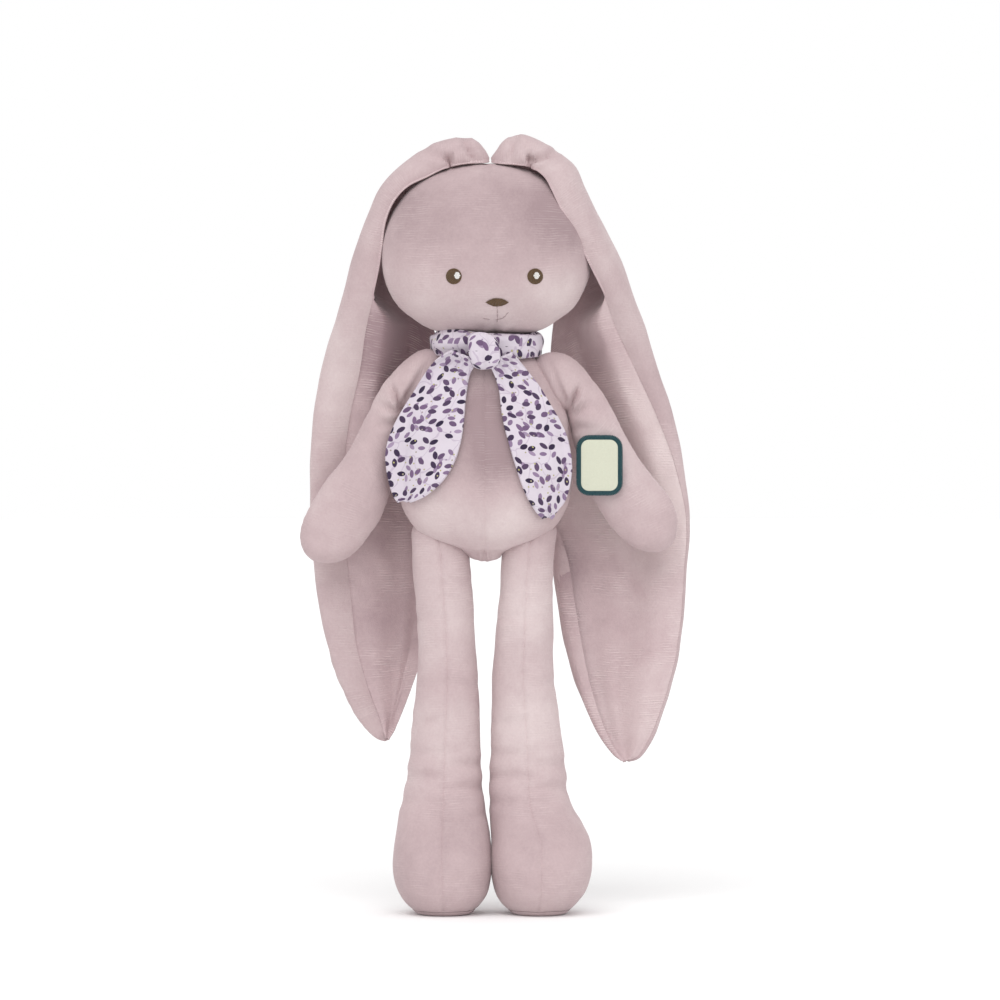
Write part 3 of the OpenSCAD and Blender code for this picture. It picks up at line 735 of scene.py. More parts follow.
# %% Head
head_low, head_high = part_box("head_front")
eye_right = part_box("eye_right")
eye_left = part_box("eye_left")
head_rows = [
    (-7, 262.3, 0, 262.3, 0, 2), (-21, 262, 14, 262, 0, 9), (-30, 264.2, 23, 264.2, 0, 15),
    (-36.5, 268.3, 29.5, 268.3, 0, 20), (-42.8, 273.5, 35.8, 273.5, 0, 25), (-47, 280, 40, 280, 0, 29),
    (-49.8, 287.5, 43, 287.5, 0, 31.2), (-51, 296, 44.2, 296, 0, 32), (-50.4, 304, 43.6, 304, 0, 31.8),
    (-47.8, 312.5, 41, 312.5, 0, 30), (-43, 321, 36.3, 321, 0, 26.8), (-36, 329, 29.2, 329, 0, 21.5),
    (-26, 335, 19, 335, 0, 14.5), (-14, 338, 7, 338, 0, 7.5), (-5, 338.7, -2, 338.7, 0, 1.5),
]
head = oval_grid(head_rows, 40, 112, power=2.12)
head = inflate("head", head, seams=(0, 56), cap=1.6)
head = refine(head)
head = ripple(head, 21, 0.45, 5)
for low, high in (eye_right, eye_left):
    x, z = (low[0] + high[0]) / 2 / MM, (low[2] + high[2]) / 2 / MM
    head = crease(head, (x - 2, z), (x + 2, z), 0.9, 6.5)
head = crease(head, (-3.2, 338), (-3.2, 329), 0.7, 1.6)
head = crease(head, (-27, 302), (19, 303), 0.35, 2.6)
head = crease(head, (0.5, 262), (0.8, 270), 0.9, 2.2)
head = crease(head, (-12, 275), (14, 275), 0.35, 4.5)
head = seam(head, (0, 112), 0.7, 1.6)
pieces["head_front"] = panel("head_front", head, 112, 224, velour_rose)
pieces["head_back"] = panel("head_back", head, 0, 112, velour_rose)
pieces["head_stuffing"] = plump("head_stuffing", head)
print("head box in mm:", [round(v / MM, 1) for v in (*head_low, *head_high)])


# %% [markdown]
# ## Neck
#
# The neck is only a short gathered tube that joins the head to the body. It is hidden by the scarf, but
# it shows when the head tips, so it has real gathers: its radius goes in and out around it.

# %% Neck
low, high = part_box("neck_gather")
middle_x, middle_z = (low[0] + high[0]) / 2, (low[2] + high[2]) / 2
radius = (high[0] - low[0]) / 2
turns = np.linspace(0, math.tau, 120, endpoint=False)
levels = np.linspace(-1, 1, 15)
gathers = 1 + 0.06 * np.sin(18 * turns)[None, :] * (1 - 0.4 * levels[:, None] ** 2)
waist = radius * (0.86 + 0.14 * levels[:, None] ** 2) * gathers
waist[0] *= 0.5
waist[-1] *= 0.5
neck = np.stack([
    middle_x + waist * np.cos(turns), waist * np.sin(turns) * 0.95,
    middle_z + np.repeat(levels[:, None], 120, axis=1) * ((high[2] - low[2]) / 2 + 0.5 * MM),
], axis=-1)
mesh = grid_mesh("neck_gather", neck)
cloth_uv(mesh, 15, 120, np.concatenate([neck, neck[:, :1]], axis=1)[:, :120])
pieces["neck_gather"] = bpy.data.objects.new("neck_gather", mesh)
bpy.context.scene.collection.objects.link(pieces["neck_gather"])
mesh.materials.append(velour_lining)
settle(pieces["neck_gather"])
print("neck gathers:", 18)


# %% [markdown]
# ## Legs
#
# Long straight legs widen into big soft feet. Each has an outer and an inner panel with seams
# down the front and the back, and a separate sole. The cloth folds across the ankle, because the
# foot pushes forward there. The sole lies flat where the doll stands on it.

# %% Legs
leg_right_rows = [
    (-36.8, 2.2, -8.4, 2.2, -10.2, 15.6), (-39.8, 5, -5.4, 5, -10.2, 19.2), (-43, 9.5, -2.6, 9.5, -10.3, 22.3), (-45, 16, -1.3, 16, -10.3, 23.7),
    (-45.8, 23.5, -0.9, 23.5, -10, 23.3), (-44.9, 34.5, -1.7, 34.5, -7.2, 20.6), (-41.6, 50, -4.2, 50, -2.9, 15.6),
    (-39.4, 62, -5.8, 62, -1, 13.7), (-37.7, 79, -6.4, 79, -0.3, 12.9), (-35.1, 105, -7.3, 105, 0, 12.6),
    (-34.4, 123, -8.6, 123, 0, 12.4), (-35.8, 143, -9.7, 143, 0, 12.2), (-36.8, 156, -10.6, 156, 0, 11.8),
    (-37.2, 166, -12, 166, 0, 10.8), (-36.8, 174, -16, 174, 0, 8.5), (-33, 178.5, -22, 178.5, 0, 4),
]
leg_left_rows = [
    (6.4, 2.2, 34.4, 2.2, -10.2, 15.6), (3.6, 5, 37.2, 5, -10.2, 19.2), (1, 9.5, 41, 9.5, -10.3, 22.3), (-0.8, 16, 43.4, 16, -10.3, 23.7),
    (-1.6, 23.5, 44.4, 23.5, -10, 23.3), (-1.3, 34.5, 43, 34.5, -7.2, 20.6), (-2.2, 50, 34.8, 50, -2.9, 15.6),
    (-1.9, 62, 32.6, 62, -1, 13.7), (-1.4, 79, 30.8, 79, -0.3, 12.9), (-0.9, 104, 27.2, 104, 0, 12.6),
    (0.5, 123, 26.7, 123, 0, 12.4), (2.4, 143, 26.4, 143, 0, 12.2), (3.4, 156, 26.7, 156, 0, 11.8),
    (4.2, 166, 27.6, 166, 0, 10.8), (8, 174, 28, 174, 0, 8.5), (14, 178.5, 24, 178.5, 0, 4),
]


def leg(side, rows, seed):
    """One leg: two panels, a flat sole and the filling."""
    grid = oval_grid(rows, 72, 48, power=2.1)
    grid = inflate("leg_" + side, grid, seams=(12, 36), cap=1.3, ends=1)
    grid = refine(grid)
    grid = ripple(grid, 15, 0.45, seed)
    centre = (rows[6][0] + rows[6][2]) / 2
    half = (rows[6][2] - rows[6][0]) / 2
    for z, x0, x1, depth in (
        (73, -1.0, 0.3, 0.8), (68, -0.2, 1.05, 1.1), (62.5, -1.05, 0.25, 1.5), (57.5, -0.3, 1.05, 1.5),
        (51.5, -1.05, 0.6, 1.2), (46, -0.2, 1.05, 0.9), (87, -0.9, 0.0, 0.6), (104, 0.0, 0.9, 0.5),
        (134, -0.9, 0.1, 0.5), (150, -0.3, 0.9, 0.5),
    ):
        start, end = (centre + x0 * half, z + 1.2 * x0), (centre + x1 * half, z - 1.2 * x1)
        grid = crease(grid, start, end, depth * 0.8, 2.2)
        grid = crease(grid, start, end, depth * 0.6, 2.2, front=False)
    grid = seam(grid, (24, 72), 0.75, 0.9, 5.0)
    outer, inner = ((24, 72), (72, 120)) if side == "right" else ((72, 120), (24, 72))
    pieces[f"leg_{side}_outer"] = panel(f"leg_{side}_outer", grid, *outer, velour_rose)
    pieces[f"leg_{side}_inner"] = panel(f"leg_{side}_inner", grid, *inner, velour_rose)
    pieces[f"leg_{side}_stuffing"] = plump(f"leg_{side}_stuffing", grid)

    edge = grid[0]
    middle = edge.mean(axis=0)
    rings = [edge + (0, 0, -0.15 * MM)]
    for share, height in ((0.94, 1.1), (0.87, 0.4), (0.78, 0.05), (0.68, 0.0), (0.4, 0.0), (0.1, 0.0)):
        ring = middle + (edge - middle) * share
        ring[:, 2] = height * MM
        rings.append(ring)
    lower = np.stack(rings[::-1])
    upper = middle + (edge - middle) * 0.5
    upper[:, 2] = 2.0 * MM
    mesh = grid_mesh(f"leg_{side}_sole", np.concatenate([lower, upper[None]]))
    sole = pieces[f"leg_{side}_sole"] = bpy.data.objects.new(f"leg_{side}_sole", mesh)
    bpy.context.scene.collection.objects.link(sole)
    layer = mesh.uv_layers.new(name="cloth")
    for loop in mesh.loops:
        point = mesh.vertices[loop.vertex_index].co
        layer.data[loop.index].uv = (point.x, point.y)
    mesh.materials.append(velour_rose)
    settle(sole)
    print(f"leg_{side}:", grid.shape[0], "rows of", grid.shape[1], "points")


leg("right", leg_right_rows, 11)
leg("left", leg_left_rows, 17)


# %% [markdown]
# ## Arms
#
# The arms grow out of the shoulders on a slanted seam, slope down and end in round mitts. The
# rows run from the tip up to the shoulder. Two or three folds fan out from the armpit, where the
# cloth is short.

# %% Arms
arm_right_rows = [
    (-81.5, 158.8, -78.5, 158.6, 0, 1.5), (-85, 161.2, -73, 158.2, 0, 6), (-87.3, 165.5, -66.5, 160, 0, 8.8),
    (-87.9, 172, -61, 164.5, 0, 9.8), (-86, 179.5, -56, 171, 0, 10.2), (-81, 188.5, -51.5, 177.5, 0, 10.4),
    (-75, 197, -48.8, 184.5, 0, 10.4), (-69, 204.8, -47, 191.5, 0, 10.2), (-63.5, 213.4, -45.8, 199, 0, 10),
    (-58.5, 223.5, -43.6, 208, 0, 9.9), (-54, 232.5, -42.6, 215.5, 0, 9.9), (-49, 240.5, -41.8, 222, 0, 10),
    (-42.5, 248, -40.5, 226.5, 0, 10.6), (-34, 254.2, -37.5, 228.5, 0, 10.8), (-26.5, 254.6, -34, 230, 0, 9.8),
    (-20.5, 250, -28, 233, 0, 5.5), (-19.5, 244.5, -22, 239, 0, 1.2),
]
arm_left_rows = [
    (75.3, 163, 78.3, 164.6, 0, 1.5), (70, 162.8, 80.9, 167.2, 0, 6), (63.5, 164.8, 82.9, 172, 0, 8.8),
    (57.5, 169.3, 83, 179.5, 0, 9.8), (52, 175.5, 79.8, 187.5, 0, 10.2), (47.2, 182.5, 73.8, 195.5, 0, 10.4),
    (44, 189, 68, 202.8, 0, 10.4), (41, 196, 62.6, 210.8, 0, 10.2), (38.6, 202.5, 57.6, 220, 0, 10),
    (36.6, 209, 53, 229, 0, 9.9), (35, 215.5, 48, 237, 0, 9.9), (34, 221.5, 42, 245, 0, 10),
    (32.5, 226, 35.5, 251, 0, 10.6), (30.5, 228, 29, 253.6, 0, 10.8), (27, 230, 22, 253, 0, 9.8),
    (22, 233, 15.5, 249, 0, 5.5), (16.5, 238.5, 14.5, 244, 0, 1.2),
]


def arm(side, rows, seed, folds):
    """One arm: a front and a back panel and the filling."""
    grid = oval_grid(rows, 46, 44, power=2.1)
    grid = inflate("arm_" + side, grid, seams=(0, 22), cap=1.0)
    grid = refine(grid)
    grid = ripple(grid, 13, 0.45, seed)
    for start, end, depth, width in folds:
        grid = crease(grid, start, end, depth, width)
        grid = crease(grid, start, end, depth * 0.7, width, front=False)
    grid = seam(grid, (0, 44), 0.6, 1.5, fade=12)
    pieces[f"arm_{side}_front"] = panel(f"arm_{side}_front", grid, 44, 88, velour_rose)
    pieces[f"arm_{side}_back"] = panel(f"arm_{side}_back", grid, 0, 44, velour_rose)
    pieces[f"arm_{side}_stuffing"] = plump(f"arm_{side}_stuffing", grid)
    print(f"arm_{side}:", grid.shape[0], "rows of", grid.shape[1], "points")


arm("right", arm_right_rows, 23, (
    ((-41.5, 228.5), (-46.5, 238), 2.6, 1.5), ((-42, 226), (-52, 230), 1.7, 1.6),
    ((-43, 221), (-53, 221), 1.1, 2.0), ((-30, 249), (-41.5, 229), 1.2, 1.4),
))
arm("left", arm_left_rows, 29, (
    ((33.2, 227), (38.6, 237.6), 2.8, 1.3), ((34, 225), (43, 229.5), 1.5, 1.6),
    ((36, 219), (46, 219), 0.9, 2.0), ((24.5, 250), (33, 228.5), 1.2, 1.3),
))


# %% [markdown]
# ## Ears
#
# Each ear is two layers of cloth sewn around the edge: soft velour outside, ribbed lining inside.
# It starts as a short pleated root on top of the head, folds over the side of the head and hangs
# behind the arm. Across, it is shaped like a J: the front lip turns over towards the face, the
# fold runs down the outer side, and the wide part goes behind. So each row gives three places:
# the fold, the lip and the back edge, with their depths and how far the back edge rolls forward.

# %% Ear section
def ear_section(row, columns, lining=False, cup=1.5):
    """Points across the ear from the front lip to the back edge, round the fold or across its mouth."""
    fold, lip, back = (np.array([row[k], row[k + 1]]) for k in (0, 2, 4))
    y_lip, y_fold, y_back, roll = row[6:10]
    span = back - fold
    length = max(np.linalg.norm(span), 0.1)
    inward = -span / length
    r = min(2.0, roll / 2.5)
    stop = back + inward * r
    t = np.linspace(0, 1, 40)[:, None]
    a = np.linspace(0, math.pi / 2, 24)[:, None]
    if lining:
        mouth = min(27, 0.62 * np.linalg.norm(back - lip))
        knee = lip - inward * mouth
        drop = np.clip((t - 0.3) / 0.7, 0, 1)
        drop = drop * drop * (3 - 2 * drop)
        points = [np.concatenate([lip + (knee - lip) * t, y_lip + (y_back - y_lip) * drop], axis=1)]
    else:
        swing = np.sin(a) ** 0.85
        knee = fold + span * min(1.0, 11 / length)
        points = [
            np.concatenate([lip + (fold - lip) * swing,
                            y_fold + (y_lip - y_fold) * np.cos(a) ** 0.85], axis=1),
            np.concatenate([fold + (knee - fold) * (1 - np.cos(a)),
                            y_fold + (y_back - y_fold) * np.sin(a)], axis=1),
        ]
    bulge = cup * min(1, length / 40) * np.sin(math.pi * t) ** 2
    points.append(np.concatenate([knee + (stop - knee) * t, y_back + bulge], axis=1))
    if roll > 0.1:
        b = np.linspace(0, math.pi, 14)[:, None]
        points.append(np.concatenate([stop - inward * r * np.sin(b), y_back - r * (1 - np.cos(b))], axis=1))
        points.append(np.concatenate([stop + inward * (roll - r) * t, y_back - 2 * r + 0 * t], axis=1))
    line = np.concatenate([np.concatenate([p[:, :1], p[:, 2:3], p[:, 1:2]], axis=1) for p in points])
    steps = np.linalg.norm(np.diff(line, axis=0), axis=1)
    reach = np.concatenate([[0], np.cumsum(steps)])
    even_reach = np.linspace(0, reach[-1], columns)
    return np.stack([np.interp(even_reach, reach, line[:, k]) for k in range(3)], axis=1) * MM


def ear_grid(rows, lining=False, count=200, columns=58):
    """The middle surface of an ear, or the surface of its lining."""
    grid = np.stack([ear_section(row, columns, lining) for row in even(rows, count, slice(0, 2))])
    for _ in range(2):
        grid[:, 1:-1] = (grid[:, :-2] + 2 * grid[:, 1:-1] + grid[:, 2:]) / 4
    return grid


# %% Ear rows
ear_right_rows = [
    (-2.6, 341.2, -2.6, 339, -2.7, 339.4, -4, 1, 7, 0), (-4.6, 344.8, -4.5, 338.6, -4.8, 339.2, -7, 1, 10, 0),
    (-8.8, 348.4, -8.6, 338.4, -9, 339, -8.5, 1, 12, 0), (-16, 349, -15, 337.8, -17, 337.6, -9.5, 1.5, 15, 0),
    (-25, 346.9, -22.5, 335.8, -25, 334.5, -9.5, 2, 18, 0), (-34, 342.2, -30, 332.2, -31, 328.5, -9, 3, 21, 0),
    (-43, 335.2, -38.6, 328, -36, 319.5, -8.5, 4, 24, 0), (-50.6, 326.6, -44.8, 321.4, -38, 309, -8, 5, 27, 0),
    (-55.6, 315.8, -48.6, 312.4, -38, 298, -7, 6.5, 30, 0), (-60, 304.2, -50.2, 301.5, -36.5, 287, -5.5, 8, 32, 0),
    (-64, 293, -51.8, 291, -34, 277, -4, 9.5, 32, 0), (-68.2, 277, -55, 277, -28, 265, -1, 12, 31, 0),
    (-72.8, 262, -58.2, 263, -24.5, 252, 4, 14.5, 29, 0), (-77.2, 245, -61, 245, -24.5, 238, 10.5, 18, 28, 0),
    (-81.4, 222, -65.8, 223, -25.5, 217, 14, 19.5, 26.5, 0), (-82.9, 200, -68.5, 200, -25, 197, 15.5, 20, 25.5, 0),
    (-83.2, 180, -68.6, 180, -25, 178, 16.5, 20.5, 25, 0), (-81.5, 158, -67, 157, -25, 156, 18.5, 21, 24.5, 0),
    (-79, 138, -65, 138, -27, 138, 19.5, 21.5, 24, 0), (-75, 120, -62.8, 119, -30.5, 121, 20, 21.5, 23.5, 0),
    (-68.5, 101.5, -57.8, 101, -36.5, 104, 20, 21.3, 23, 0), (-60, 84.5, -53, 88, -42.5, 88, 20, 21, 22.3, 0),
    (-54, 77.3, -50.8, 81, -45.5, 81, 18.5, 20, 21.5, 0), (-50, 75.6, -49.6, 77, -48, 76.5, 19.5, 20, 20.5, 0),
]
ear_left_rows = [
    (-0.9, 341, -0.8, 338.9, -0.8, 339.3, -4, 1, 7, 0), (1.4, 344, 1.3, 338.4, 1.5, 339, -7, 1, 10, 0),
    (5, 348, 4.5, 338, 5.2, 338.6, -8.5, 1, 12, 0), (12, 350.3, 11, 337.5, 13, 337.3, -10, 1.5, 15, 0),
    (20, 347.6, 17.5, 336, 21, 334.3, -11.5, 2, 18, 0), (28.5, 342.6, 22.8, 331.8, 27, 328.2, -14, 3, 21, 0),
    (35.8, 336.8, 26, 325.8, 31, 319.3, -16, 4, 24, 0), (40, 327.3, 29.2, 318.8, 33, 309, -17, 5, 27, 0),
    (45.2, 316.2, 33.6, 310.5, 32.5, 299, -16.5, 6.5, 30, 0), (50.8, 305, 38, 302.5, 31, 289, -14.5, 8, 32, 0),
    (56.6, 293, 42.8, 293, 29, 278, -11, 9.5, 32, 0), (62.2, 278, 49.5, 280, 27, 266, -4, 12, 31, 0),
    (68.2, 263, 55.5, 264, 25.8, 253, 4, 14.5, 29, 0), (74.6, 243, 65, 244, 25.3, 238, 11, 17.5, 27.5, 0),
    (80.8, 222, 75, 222, 25.2, 218, 13, 18.5, 26.5, 0), (85.8, 200, 83, 200, 25.2, 198, 14.5, 19, 26, 0),
    (88.2, 180, 87, 180, 25.6, 180, 16, 19.5, 25.5, 1), (88.2, 160, 87.4, 160, 27.4, 160, 17, 20, 25, 6),
    (86.6, 138, 85.8, 138, 29.6, 140, 17, 20, 24.5, 7), (84, 117, 83.2, 117, 33.8, 118, 17, 20, 24, 6.5),
    (79.5, 98, 78.8, 98.5, 39.5, 99, 17.5, 20, 23.5, 5), (73.5, 81, 73, 82, 46.8, 81.5, 18, 20, 22.5, 3.5),
    (67, 69, 66.5, 70, 54.5, 70.5, 19, 20.2, 21.8, 1.5), (62, 66.2, 61.5, 67.2, 59.8, 66.8, 19.6, 20, 20.5, 0),
]


# %% Ear pieces
def ear(side, rows, seed, pleats):
    """An ear's two layers of cloth, a little apart in the middle and together at the edge."""
    grid, open_side = ear_grid(rows), ear_grid(rows, lining=True)
    outward = normals(grid, closed=False)
    turned = outward[110, 12, 0] * (-1 if side == "right" else 1) < 0
    if turned:
        outward = -outward
    shake = ripple(grid, 30, 1.3, seed, closed=False) - grid
    shake = shake * np.linspace(0.25, 1, len(grid))[:, None, None]
    grid = grid + shake
    open_side = open_side + shake[:, ::-1] * (0, 0.5, 0)
    for start, end, depth, width in pleats:
        grid = crease(grid, start, end, depth, width, closed=False, turned=turned)
    t = np.linspace(-1, 1, grid.shape[1])
    rise = np.clip(np.arange(len(grid)) / 9, 0.3, 1) * np.clip((len(grid) - 1 - np.arange(len(grid))) / 11, 0, 1)
    puff = (0.1 + 1.4 * (1 - t**6)[None, :] * rise[:, None]) * MM
    outer, lining = grid + outward * puff[..., None], grid - outward * puff[..., None]
    lowered = np.clip((292 - grid[:, 0, 2] / MM) / 24, 0, 1)[:, None, None]
    lowered = lowered * lowered * (3 - 2 * lowered)
    lift = np.sin(math.pi * np.clip(np.linspace(0, 1, grid.shape[1]), 0, 1)) ** 0.5 * 0.9 * MM
    open_side[..., 1] -= lift[None, :]
    open_side[:, 0] = lining[:, 0]
    press = np.zeros(open_side.shape[:2])
    for i, row in enumerate(open_side):
        bend = int(np.argmax(np.abs(outer[i, :, 0])))
        edge = bend + int(np.argmin(np.abs(outer[i, bend:, 0]))) + 1
        order = np.argsort(outer[i, bend:edge, 0])
        wall = np.interp(row[:, 0], outer[i, bend:edge, 0][order], outer[i, bend:edge, 1][order])
        press[i] = np.minimum(0, wall - 1.3 * MM - row[:, 1])
    for _ in range(4):
        press[1:-1] = (press[:-2] + 2 * press[1:-1] + press[2:]) / 4
        press[:, 1:-1] = (press[:, :-2] + 2 * press[:, 1:-1] + press[:, 2:]) / 4
    open_side[..., 1] += press
    lining = lining * (1 - lowered) + open_side * lowered
    facing = normals(grid, closed=False)
    same = float((facing * outward).sum()) > 0
    sizes = {}
    for layer_name, surface, material, flip in (
        ("outer", outer, velour_rose, not same), ("lining", lining, velour_lining, same),
    ):
        name = f"ear_{side}_{layer_name}"
        pieces[name] = sheet_piece(name, surface, material, 0.75, flip=flip)
        across = np.linalg.norm(np.diff(surface, axis=1), axis=-1).sum(axis=1)
        down = np.linalg.norm(np.diff(surface, axis=0), axis=-1).sum(axis=0)
        sizes[layer_name] = (float(across.max()), float(down.max()))
        print(f"{name}: {across.max() / MM:.0f} mm wide, {down.max() / MM:.0f} mm long")
    return sizes


ear_right_size = ear("right", ear_right_rows, 3, (
    ((-14, 349), (-8.5, 339), 2.4, 1.4), ((-20, 342.5), (-19.7, 335), 4.0, 1.1), ((-31, 344), (-20.5, 340), 1.3, 1.8),
))
ear_left_size = ear("left", ear_left_rows, 8, (
    ((10, 351), (7, 340), 1.8, 1.4), ((15.8, 342.5), (16.2, 335), 4.0, 1.1), ((27, 342), (17, 339.5), 2.6, 1.5),
))


# %% [markdown]
# ## Stitches that follow the surface
#
# Satin stitches lie side by side and fill a shape. A Geometry Nodes tree sets one strand after
# another across the shape, gives each the shape's own height at that place, and sweeps a small
# round profile along it. The flat result is then laid on the face by casting each point onto the
# head, so it follows the curve of the cheek.

# %% Geometry helpers
def geometry_tree(name, inputs):
    """A Geometry Nodes tree with named number inputs."""
    tree = bpy.data.node_groups.new(name, "GeometryNodeTree")
    tree.interface.new_socket("Geometry", in_out="INPUT", socket_type="NodeSocketGeometry")
    for label, kind, value in inputs:
        tree.interface.new_socket(label, in_out="INPUT", socket_type=kind).default_value = value
    tree.interface.new_socket("Geometry", in_out="OUTPUT", socket_type="NodeSocketGeometry")
    return tree, tree.nodes.new("NodeGroupInput"), tree.nodes.new("NodeGroupOutput")


def swept(name, tree, values, material, mesh=None):
    """A plain mesh made by a Geometry Nodes tree with the given input values."""
    obj = bpy.data.objects.new(name, mesh or bpy.data.meshes.new(name))
    bpy.context.scene.collection.objects.link(obj)
    modifier = obj.modifiers.new("make", "NODES")
    modifier.node_group = tree
    for item in tree.interface.items_tree:
        if item.in_out == "INPUT" and item.name in values:
            modifier[item.identifier] = values[item.name]
    shaped = bpy.data.meshes.new_from_object(
        obj.evaluated_get(bpy.context.evaluated_depsgraph_get()))
    obj.modifiers.clear()
    obj.data = shaped
    shaped.name = name
    shaped.materials.clear()
    shaped.materials.append(material)
    shaped.polygons.foreach_set("use_smooth", [True] * len(shaped.polygons))
    return obj


def join(name, made):
    """One object from several."""
    with bpy.context.temp_override(active_object=made[0], selected_editable_objects=made):
        bpy.ops.object.join()
    made[0].name = made[0].data.name = name
    return made[0]


# %% Satin tree
satin, satin_in, satin_out = geometry_tree("satin stitch", [
    ("Width", FLOAT, 0.007), ("Height", FLOAT, 0.007), ("Thread", FLOAT, 0.0004),
    ("Point", FLOAT, 0.5), ("Dome", FLOAT, 0.0004),
])
count = maths_count = satin.nodes.new("ShaderNodeMath")
count.operation = "DIVIDE"
satin.links.new(satin_in.outputs["Width"], count.inputs[0])
satin.links.new(satin_in.outputs["Thread"], count.inputs[1])
line = satin.nodes.new("GeometryNodeMeshLine")
line.mode = "END_POINTS"
satin.links.new(count.outputs[0], line.inputs["Count"])
half = maths(satin, "MULTIPLY", satin_in.outputs["Width"], 0.485)
start = satin.nodes.new("ShaderNodeCombineXYZ")
satin.links.new(maths(satin, "MULTIPLY", half, -1.0), start.inputs[0])
end = satin.nodes.new("ShaderNodeCombineXYZ")
satin.links.new(half, end.inputs[0])
satin.links.new(start.outputs[0], line.inputs["Start Location"])
satin.links.new(end.outputs[0], line.inputs["Offset"])
strand = satin.nodes.new("GeometryNodeCurvePrimitiveLine")
strand.inputs["Start"].default_value = (0, 0, -0.5)
strand.inputs["End"].default_value = (0, 0, 0.5)
fine_strand = satin.nodes.new("GeometryNodeResampleCurve")
fine_strand.inputs["Count"].default_value = 9
satin.links.new(strand.outputs[0], fine_strand.inputs["Curve"])
spot = satin.nodes.new("GeometryNodeInputPosition")
spot_x = satin.nodes.new("ShaderNodeSeparateXYZ")
satin.links.new(spot.outputs[0], spot_x.inputs[0])
share = maths(satin, "POWER", maths(satin, "DIVIDE", maths(satin, "ABSOLUTE", spot_x.outputs[0]),
                                    maths(satin, "MULTIPLY", satin_in.outputs["Width"], 0.5)), 2.0)
tall = maths(satin, "POWER", maths(satin, "SUBTRACT", 1.0, share, clamp=True), satin_in.outputs["Point"])
tall = maths(satin, "MULTIPLY", tall, satin_in.outputs["Height"])
uneven = satin.nodes.new("FunctionNodeRandomValue")
uneven.data_type = "FLOAT"
uneven.inputs[2].default_value = 0.93
uneven.inputs[3].default_value = 1.05
uneven.inputs["Seed"].default_value = 4
tall = maths(satin, "MULTIPLY", tall, uneven.outputs[1])
size = satin.nodes.new("ShaderNodeCombineXYZ")
size.inputs[0].default_value = 1
size.inputs[1].default_value = 1
satin.links.new(tall, size.inputs[2])
lay = satin.nodes.new("GeometryNodeInstanceOnPoints")
satin.links.new(line.outputs[0], lay.inputs["Points"])
satin.links.new(fine_strand.outputs[0], lay.inputs["Instance"])
satin.links.new(size.outputs[0], lay.inputs["Scale"])
loose = satin.nodes.new("GeometryNodeRealizeInstances")
satin.links.new(lay.outputs[0], loose.inputs[0])
raised = satin.nodes.new("GeometryNodeSetPosition")
satin.links.new(loose.outputs[0], raised.inputs["Geometry"])
place_now = satin.nodes.new("GeometryNodeInputPosition")
now = satin.nodes.new("ShaderNodeSeparateXYZ")
satin.links.new(place_now.outputs[0], now.inputs[0])
up = maths(satin, "DIVIDE", now.outputs[2], maths(satin, "MULTIPLY", satin_in.outputs["Height"], 0.55))
over = maths(satin, "DIVIDE", now.outputs[0], maths(satin, "MULTIPLY", satin_in.outputs["Width"], 0.55))
round_off = maths(satin, "SUBTRACT", 1.0, maths(satin, "ADD", maths(satin, "MULTIPLY", up, up),
                                                maths(satin, "MULTIPLY", over, over)), clamp=True)
out_y = maths(satin, "MULTIPLY", maths(satin, "MULTIPLY", round_off, satin_in.outputs["Dome"]), -1.0)
shift = satin.nodes.new("ShaderNodeCombineXYZ")
satin.links.new(out_y, shift.inputs[1])
satin.links.new(shift.outputs[0], raised.inputs["Offset"])
ring = satin.nodes.new("GeometryNodeCurvePrimitiveCircle")
ring.inputs["Resolution"].default_value = 6
satin.links.new(maths(satin, "MULTIPLY", satin_in.outputs["Thread"], 0.58), ring.inputs["Radius"])
sweep = satin.nodes.new("GeometryNodeCurveToMesh")
sweep.inputs["Fill Caps"].default_value = True
satin.links.new(raised.outputs[0], sweep.inputs["Curve"])
satin.links.new(ring.outputs[0], sweep.inputs["Profile Curve"])
real = satin.nodes.new("GeometryNodeRealizeInstances")
satin.links.new(sweep.outputs[0], real.inputs[0])
paint = satin.nodes.new("GeometryNodeSetMaterial")
paint.inputs["Material"].default_value = thread_brown
satin.links.new(real.outputs[0], paint.inputs["Geometry"])
satin.links.new(paint.outputs[0], satin_out.inputs["Geometry"])
print("satin tree:", len(satin.nodes), "nodes")


# %% Path tree
# A strand of thread along an edge path, or a row of short stitches set across it.
stitch, stitch_in, stitch_out = geometry_tree("stitches on a path", [
    ("Spacing", FLOAT, 0.0015), ("Length", FLOAT, 0.002), ("Thread", FLOAT, 0.0004), ("Slant", FLOAT, 0.5),
])
path = stitch.nodes.new("GeometryNodeMeshToCurve")
stitch.links.new(stitch_in.outputs["Geometry"], path.inputs[0])
cut = stitch.nodes.new("GeometryNodeResampleCurve")
cut.mode = "LENGTH"
stitch.links.new(path.outputs[0], cut.inputs["Curve"])
stitch.links.new(stitch_in.outputs["Spacing"], cut.inputs["Length"])
one = stitch.nodes.new("GeometryNodeCurvePrimitiveLine")
one.inputs["Start"].default_value = (-0.5, 0, 0)
one.inputs["End"].default_value = (0.5, 0, 0)
bits = stitch.nodes.new("GeometryNodeResampleCurve")
bits.inputs["Count"].default_value = 5
stitch.links.new(one.outputs[0], bits.inputs["Curve"])
bow = stitch.nodes.new("GeometryNodeSetPosition")
stitch.links.new(bits.outputs[0], bow.inputs["Geometry"])
bit_at = stitch.nodes.new("GeometryNodeInputPosition")
bit_x = stitch.nodes.new("ShaderNodeSeparateXYZ")
stitch.links.new(bit_at.outputs[0], bit_x.inputs[0])
hump = maths(stitch, "MULTIPLY", maths(stitch, "MULTIPLY", bit_x.outputs[0], bit_x.outputs[0]), 0.55)
hump_vector = stitch.nodes.new("ShaderNodeCombineXYZ")
stitch.links.new(hump, hump_vector.inputs[1])
